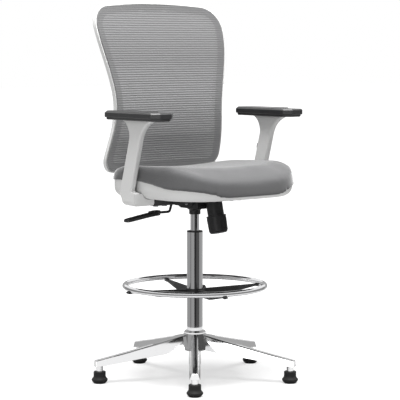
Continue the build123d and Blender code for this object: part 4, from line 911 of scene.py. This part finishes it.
def knit_tone(tree, place, height, cord, inside):
    """The yarn's tone: painted light on the cords, painted shade in the gaps and on the border, painted light
    low down, and a slow random change.
    """
    # painted light and shade: the yarn is paler on a cord and darker in the gaps between cords
    tone = spread(tree, cord, 0.10, 0.88)
    # painted shade: the yarn is darker on the border, where the knit wraps the frame
    tone = math_node(tree, "MULTIPLY", tone, spread(tree, inside, 0.28, 0.72))
    # painted light: the yarn is paler low down, where less light falls
    below = math_node(tree, "SUBTRACT", PAINTED_LIGHT_BELOW, height, clamp=True)
    tone = math_node(tree, "MULTIPLY", tone, spread(tree, below, PAINTED_LIGHT_GAIN, 1.0))
    slow = noise_at(tree, place, 7.0, detail=2.0)
    return math_node(tree, "MULTIPLY", tone, spread(tree, slow, 0.10, 0.95))


def knit_finish():
    material, tree, body = plain("back_knit", specular=0.25)
    place = object_place(tree)
    where = tree.nodes.new("ShaderNodeSeparateXYZ")
    tree.links.new(place, where.inputs[0])
    cord = cord_wave(tree, where.outputs["Z"], CORD_SPACING)
    threads = math_node(tree, "MULTIPLY", where.outputs["X"], 2 * math.pi / THREAD_SPACING)
    threads = math_node(tree, "SINE", threads)
    edge = tree.nodes.new("ShaderNodeAttribute")
    edge.attribute_name = "edge_distance"
    inside = math_node(tree, "SUBTRACT", edge.outputs["Fac"], BOND_AND_SHADE_WIDTH)
    inside = math_node(tree, "DIVIDE", inside, BOND_AND_SHADE_BLEND, clamp=True)
    tone = knit_tone(tree, place, where.outputs["Z"], cord, inside)
    tree.links.new(tint(tree, KNIT_GREY, tone), body.inputs["Base Color"])
    gap = math_node(tree, "SUBTRACT", GAP_FROM, cord, clamp=True)
    hole = math_node(tree, "MULTIPLY", gap, 4.0, clamp=True)
    between = spread(tree, math_node(tree, "GREATER_THAN", threads, 0.1), 0.2, 0.8)
    hole = math_node(tree, "MULTIPLY", math_node(tree, "MULTIPLY", hole, between), inside)
    hole = math_node(tree, "MULTIPLY", hole, SEEN_THROUGH)
    tree.links.new(math_node(tree, "SUBTRACT", 1.0, hole), body.inputs["Alpha"])
    knit = math_node(tree, "ADD", math_node(tree, "MULTIPLY", threads, 0.3), noise_at(tree, place, 900.0))
    tree.links.new(raised(tree, knit, 0.00025), body.inputs["Normal"])
    body.inputs["Roughness"].default_value = 0.85
    body.inputs["Sheen Weight"].default_value = 0.25
    body.inputs["Sheen Roughness"].default_value = 0.5
    return material


back_knit = knit_finish()

# %% [markdown]
# The sheet gets its cords, then a thickness behind them. It is held stretched on the back's frame, and here
# it is attached to the seat's body in place of the imported mesh, which is hidden.

# %% Put the sheet on the frame
SHEET_THICK = 0.0010

cords = back_sheet.modifiers.new("knit_cords", "NODES")
cords.node_group = cord_tree(back_knit)
back_sheet.data.materials.append(back_knit)
freeze(back_sheet)
thick = back_sheet.modifiers.new("thickness", "SOLIDIFY")
thick.thickness = SHEET_THICK
thick.offset = -1.0
freeze(back_sheet)
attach(back_sheet, "seat")
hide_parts("back_mesh")
count_faces(back_sheet)

# %% [markdown]
# ## The seat cushion
# A thick foam block under one stretched cover. Its underside sits in the
# plastic shell and its top is held only by the cover's pull, so it swells
# between the edges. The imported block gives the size. It gets an even mesh that
# lies on its surface, its upper edge is rounded off, and it is blown up a
# little as cloth under pressure while the part inside the shell stays put. The
# pull lines that a cover gets at its corners are pressed in last.

# %% Even out the block
CUSHION_VOXEL = 0.006


def cushion_block():
    """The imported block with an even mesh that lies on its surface."""
    shape = merged_copy("seat_cushion")
    surface = BVHTree.FromBMesh(shape)
    data = bpy.data.meshes.new("seat_cover")
    shape.to_mesh(data)
    shape.free()
    piece = bpy.data.objects.new("seat_cover", data)
    bpy.context.scene.collection.objects.link(piece)
    grid = piece.modifiers.new("even_mesh", "REMESH")
    grid.mode = "VOXEL"
    grid.voxel_size = CUSHION_VOXEL
    freeze(piece)
    for vertex in piece.data.vertices:
        vertex.co = surface.find_nearest(vertex.co)[0]
    return piece


seat_cover = cushion_block()
count_faces(seat_cover)

# %% [markdown]
# What the shell holds and what is free is decided by the shell's rim, which
# rises and falls along the seat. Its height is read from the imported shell, in
# slices from front to rear.

# %% Find the shell's rim
RIM_SLICE = 0.02
HELD_ABOVE = 0.004  # the cover is still held this far above the rim
FREE_OVER = 0.016  # and is free this much higher


def places_of(piece):
    flat = np.empty(len(piece.data.vertices) * 3)
    piece.data.vertices.foreach_get("co", flat)
    return flat.reshape(-1, 3)


def put_places(piece, places):
    piece.data.vertices.foreach_set("co", places.ravel())
    piece.data.update()


def shell_rim():
    """Height of the shell's rim for any y, from its topmost corners."""
    tops = {}
    for vertex in NODES["seat_shell"].data.vertices:
        key = round(vertex.co.y / RIM_SLICE)
        tops[key] = max(tops.get(key, 0), vertex.co.z)
    keys = np.array(sorted(tops))
    heights = np.array([tops[key] for key in keys])
    return lambda y: np.interp(np.asarray(y) / RIM_SLICE, keys, heights)


rim_height = shell_rim()
places = places_of(seat_cover)
above_rim = places[:, 2] - rim_height(places[:, 1])
free_share = np.clip((above_rim - HELD_ABOVE) / FREE_OVER, 0, 1)
print("rim at the front", round(float(rim_height(-0.27)), 3), "at the rear", round(float(rim_height(0.1)), 3))

# %% Round the upper edge
EASE = 0.5  # share of the way to its neighbours' average that a corner goes in each round
EDGE_ROUNDS = 16
REAR_ROUNDS = 60
REAR_FROM, REAR_OVER = 0.05, 0.07  # the rear's edge is rounder, from this y on


def relaxed(piece, values, weights, rounds):
    """Average a quantity with its neighbours, again and again, where the weight allows it."""
    ends = np.array([edge.vertices[:] for edge in piece.data.edges])
    count = np.bincount(ends.ravel(), minlength=len(values))[:, None]
    for step in range(rounds):
        total = np.zeros_like(values)
        np.add.at(total, ends[:, 0], values[ends[:, 1]])
        np.add.at(total, ends[:, 1], values[ends[:, 0]])
        values = values + weights[:, None] * (total / count - values)
    return values


places = relaxed(seat_cover, places, EASE * free_share, EDGE_ROUNDS)
rear_share = free_share * np.clip((places[:, 1] - REAR_FROM) / REAR_OVER, 0, 1)
places = relaxed(seat_cover, places, EASE * rear_share, REAR_ROUNDS)
put_places(seat_cover, places)
print("cushion top before it swells", round(float(places[:, 2].max()), 4))

# %% [markdown]
# Foam pushes its cover out evenly, which is what a cloth under pressure does.
# The simulation says where the cover wants to go. That wish is then evened out
# and kept small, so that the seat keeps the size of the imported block.

# %% Swell it
SWELL_CAP = 0.005
SWELL_PRESSURE = 4.0
SWELL_FRAMES = 20
SWELL_ROUNDS = 30


def blow_up(piece, free):
    """Run the cloth under pressure; what isn't free is pinned."""
    held = piece.vertex_groups.new(name="held")
    for index, share in enumerate(free):
        held.add([index], float(1 - share), "REPLACE")
    rules = piece.modifiers.new("swell", "CLOTH").settings
    rules.use_pressure = True
    rules.uniform_pressure_force = SWELL_PRESSURE
    rules.vertex_group_mass = "held"
    rules.quality = 6
    rules.mass = 0.3
    rules.tension_stiffness = 30
    rules.compression_stiffness = 30
    rules.bending_stiffness = 8
    rules.effector_weights.gravity = 0
    for step in range(1, SWELL_FRAMES + 1):
        bpy.context.scene.frame_set(step)
    freeze(piece)
    bpy.context.scene.frame_set(1)


def swell(piece, free):
    start = places_of(piece)
    blow_up(piece, free)
    moved = places_of(piece) - start
    far = np.linalg.norm(moved, axis=1, keepdims=True)
    moved *= np.minimum(1, SWELL_CAP / np.maximum(far, 1e-9))
    moved = relaxed(piece, moved, EASE * free, SWELL_ROUNDS)
    put_places(piece, start + moved)
    piece.vertex_groups.clear()
    print("the cover moved by up to", round(float(np.linalg.norm(moved, axis=1).max()) * 1000, 1), "mm")


swell(seat_cover, free_share)
print("cushion top", round(float(places_of(seat_cover)[:, 2].max()), 4))

# %% [markdown]
# A stretched cover shows faint pull lines where it is drawn over a corner.
# They are far too shallow to model by hand, so a noise that runs round the
# seat presses them in, strongest at the two front corners and just above the
# rim. One level of subdivision then makes the skin smooth.

# %% Pull lines and a smooth skin
PULL_DEPTH = 0.0005
PULL_TURN, PULL_SPREAD = 0.85, 0.34  # of the corners, in radians from the front
PULL_MIDDLE, PULL_REACH = 0.024, 0.020  # height over the rim
PULL_CENTRE_Y = -0.03  # the corners' turn is measured round this point
LINES_CENTRE_Y = -0.06  # and the lines run out from this one
LINES_ROUND, LINES_UP, NOISE_LAYER = 16, 9, 3.1


def press_pull_lines(piece, rim):
    shape = bmesh.new()
    shape.from_mesh(piece.data)
    shape.normal_update()
    moves = []
    for vertex in shape.verts:
        above = vertex.co.z - float(rim(vertex.co.y))
        corner = abs(math.atan2(vertex.co.x, PULL_CENTRE_Y - vertex.co.y))
        near = math.exp(-((corner - PULL_TURN) / PULL_SPREAD) ** 2)
        height = max(0.0, 1 - abs(above - PULL_MIDDLE) / PULL_REACH)
        turn = math.atan2(vertex.co.y - LINES_CENTRE_Y, vertex.co.x)
        wave = noise.noise(Vector((turn * LINES_ROUND, above * LINES_UP, NOISE_LAYER)))
        moves.append(vertex.normal * (PULL_DEPTH * wave * near * height))
    for vertex, move in zip(shape.verts, moves):
        vertex.co += move
    shape.to_mesh(piece.data)
    shape.free()


press_pull_lines(seat_cover, rim_height)
for face in seat_cover.data.polygons:
    face.use_smooth = True
skin = seat_cover.modifiers.new("skin", "SUBSURF")
skin.levels = 1
skin.render_levels = 1
freeze(seat_cover)
count_faces(seat_cover)

# %% [markdown]
# The cover is a close knitted upholstery cloth. Seen straight on it is a plain
# mid grey, but at a grazing angle the tiny loops catch the light, which is why
# the seat's top looks paler than its side. That is what sheen is for.

# %% Seat cloth
CLOTH_GREY = (0.098, 0.098, 0.100)


def seat_cloth_finish():
    material, tree, body = plain("seat_cloth", specular=0.2)
    place = object_place(tree)
    weave = tree.nodes.new("ShaderNodeTexVoronoi")
    weave.inputs["Scale"].default_value = 620
    tree.links.new(place, weave.inputs["Vector"])
    slow = noise_at(tree, place, 6.0, detail=3.0)
    flecks = noise_at(tree, place, 420.0, detail=2.0)
    tone = math_node(tree, "MULTIPLY", spread(tree, slow, 0.14, 0.93), spread(tree, flecks, 0.30, 0.85))
    tree.links.new(tint(tree, CLOTH_GREY, tone), body.inputs["Base Color"])
    loops = math_node(tree, "ADD", weave.outputs["Distance"], math_node(tree, "MULTIPLY", flecks, 0.5))
    tree.links.new(raised(tree, loops, 0.0003, strength=0.8), body.inputs["Normal"])
    body.inputs["Roughness"].default_value = 0.9
    body.inputs["Sheen Weight"].default_value = 1.0
    body.inputs["Sheen Roughness"].default_value = 0.35
    body.inputs["Sheen Tint"].default_value = (1, 1, 1, 1)
    return material


seat_cover.data.materials.clear()
seat_cover.data.materials.append(seat_cloth_finish())
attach(seat_cover, "seat")
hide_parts("seat_cushion")
print("seat cover dressed")
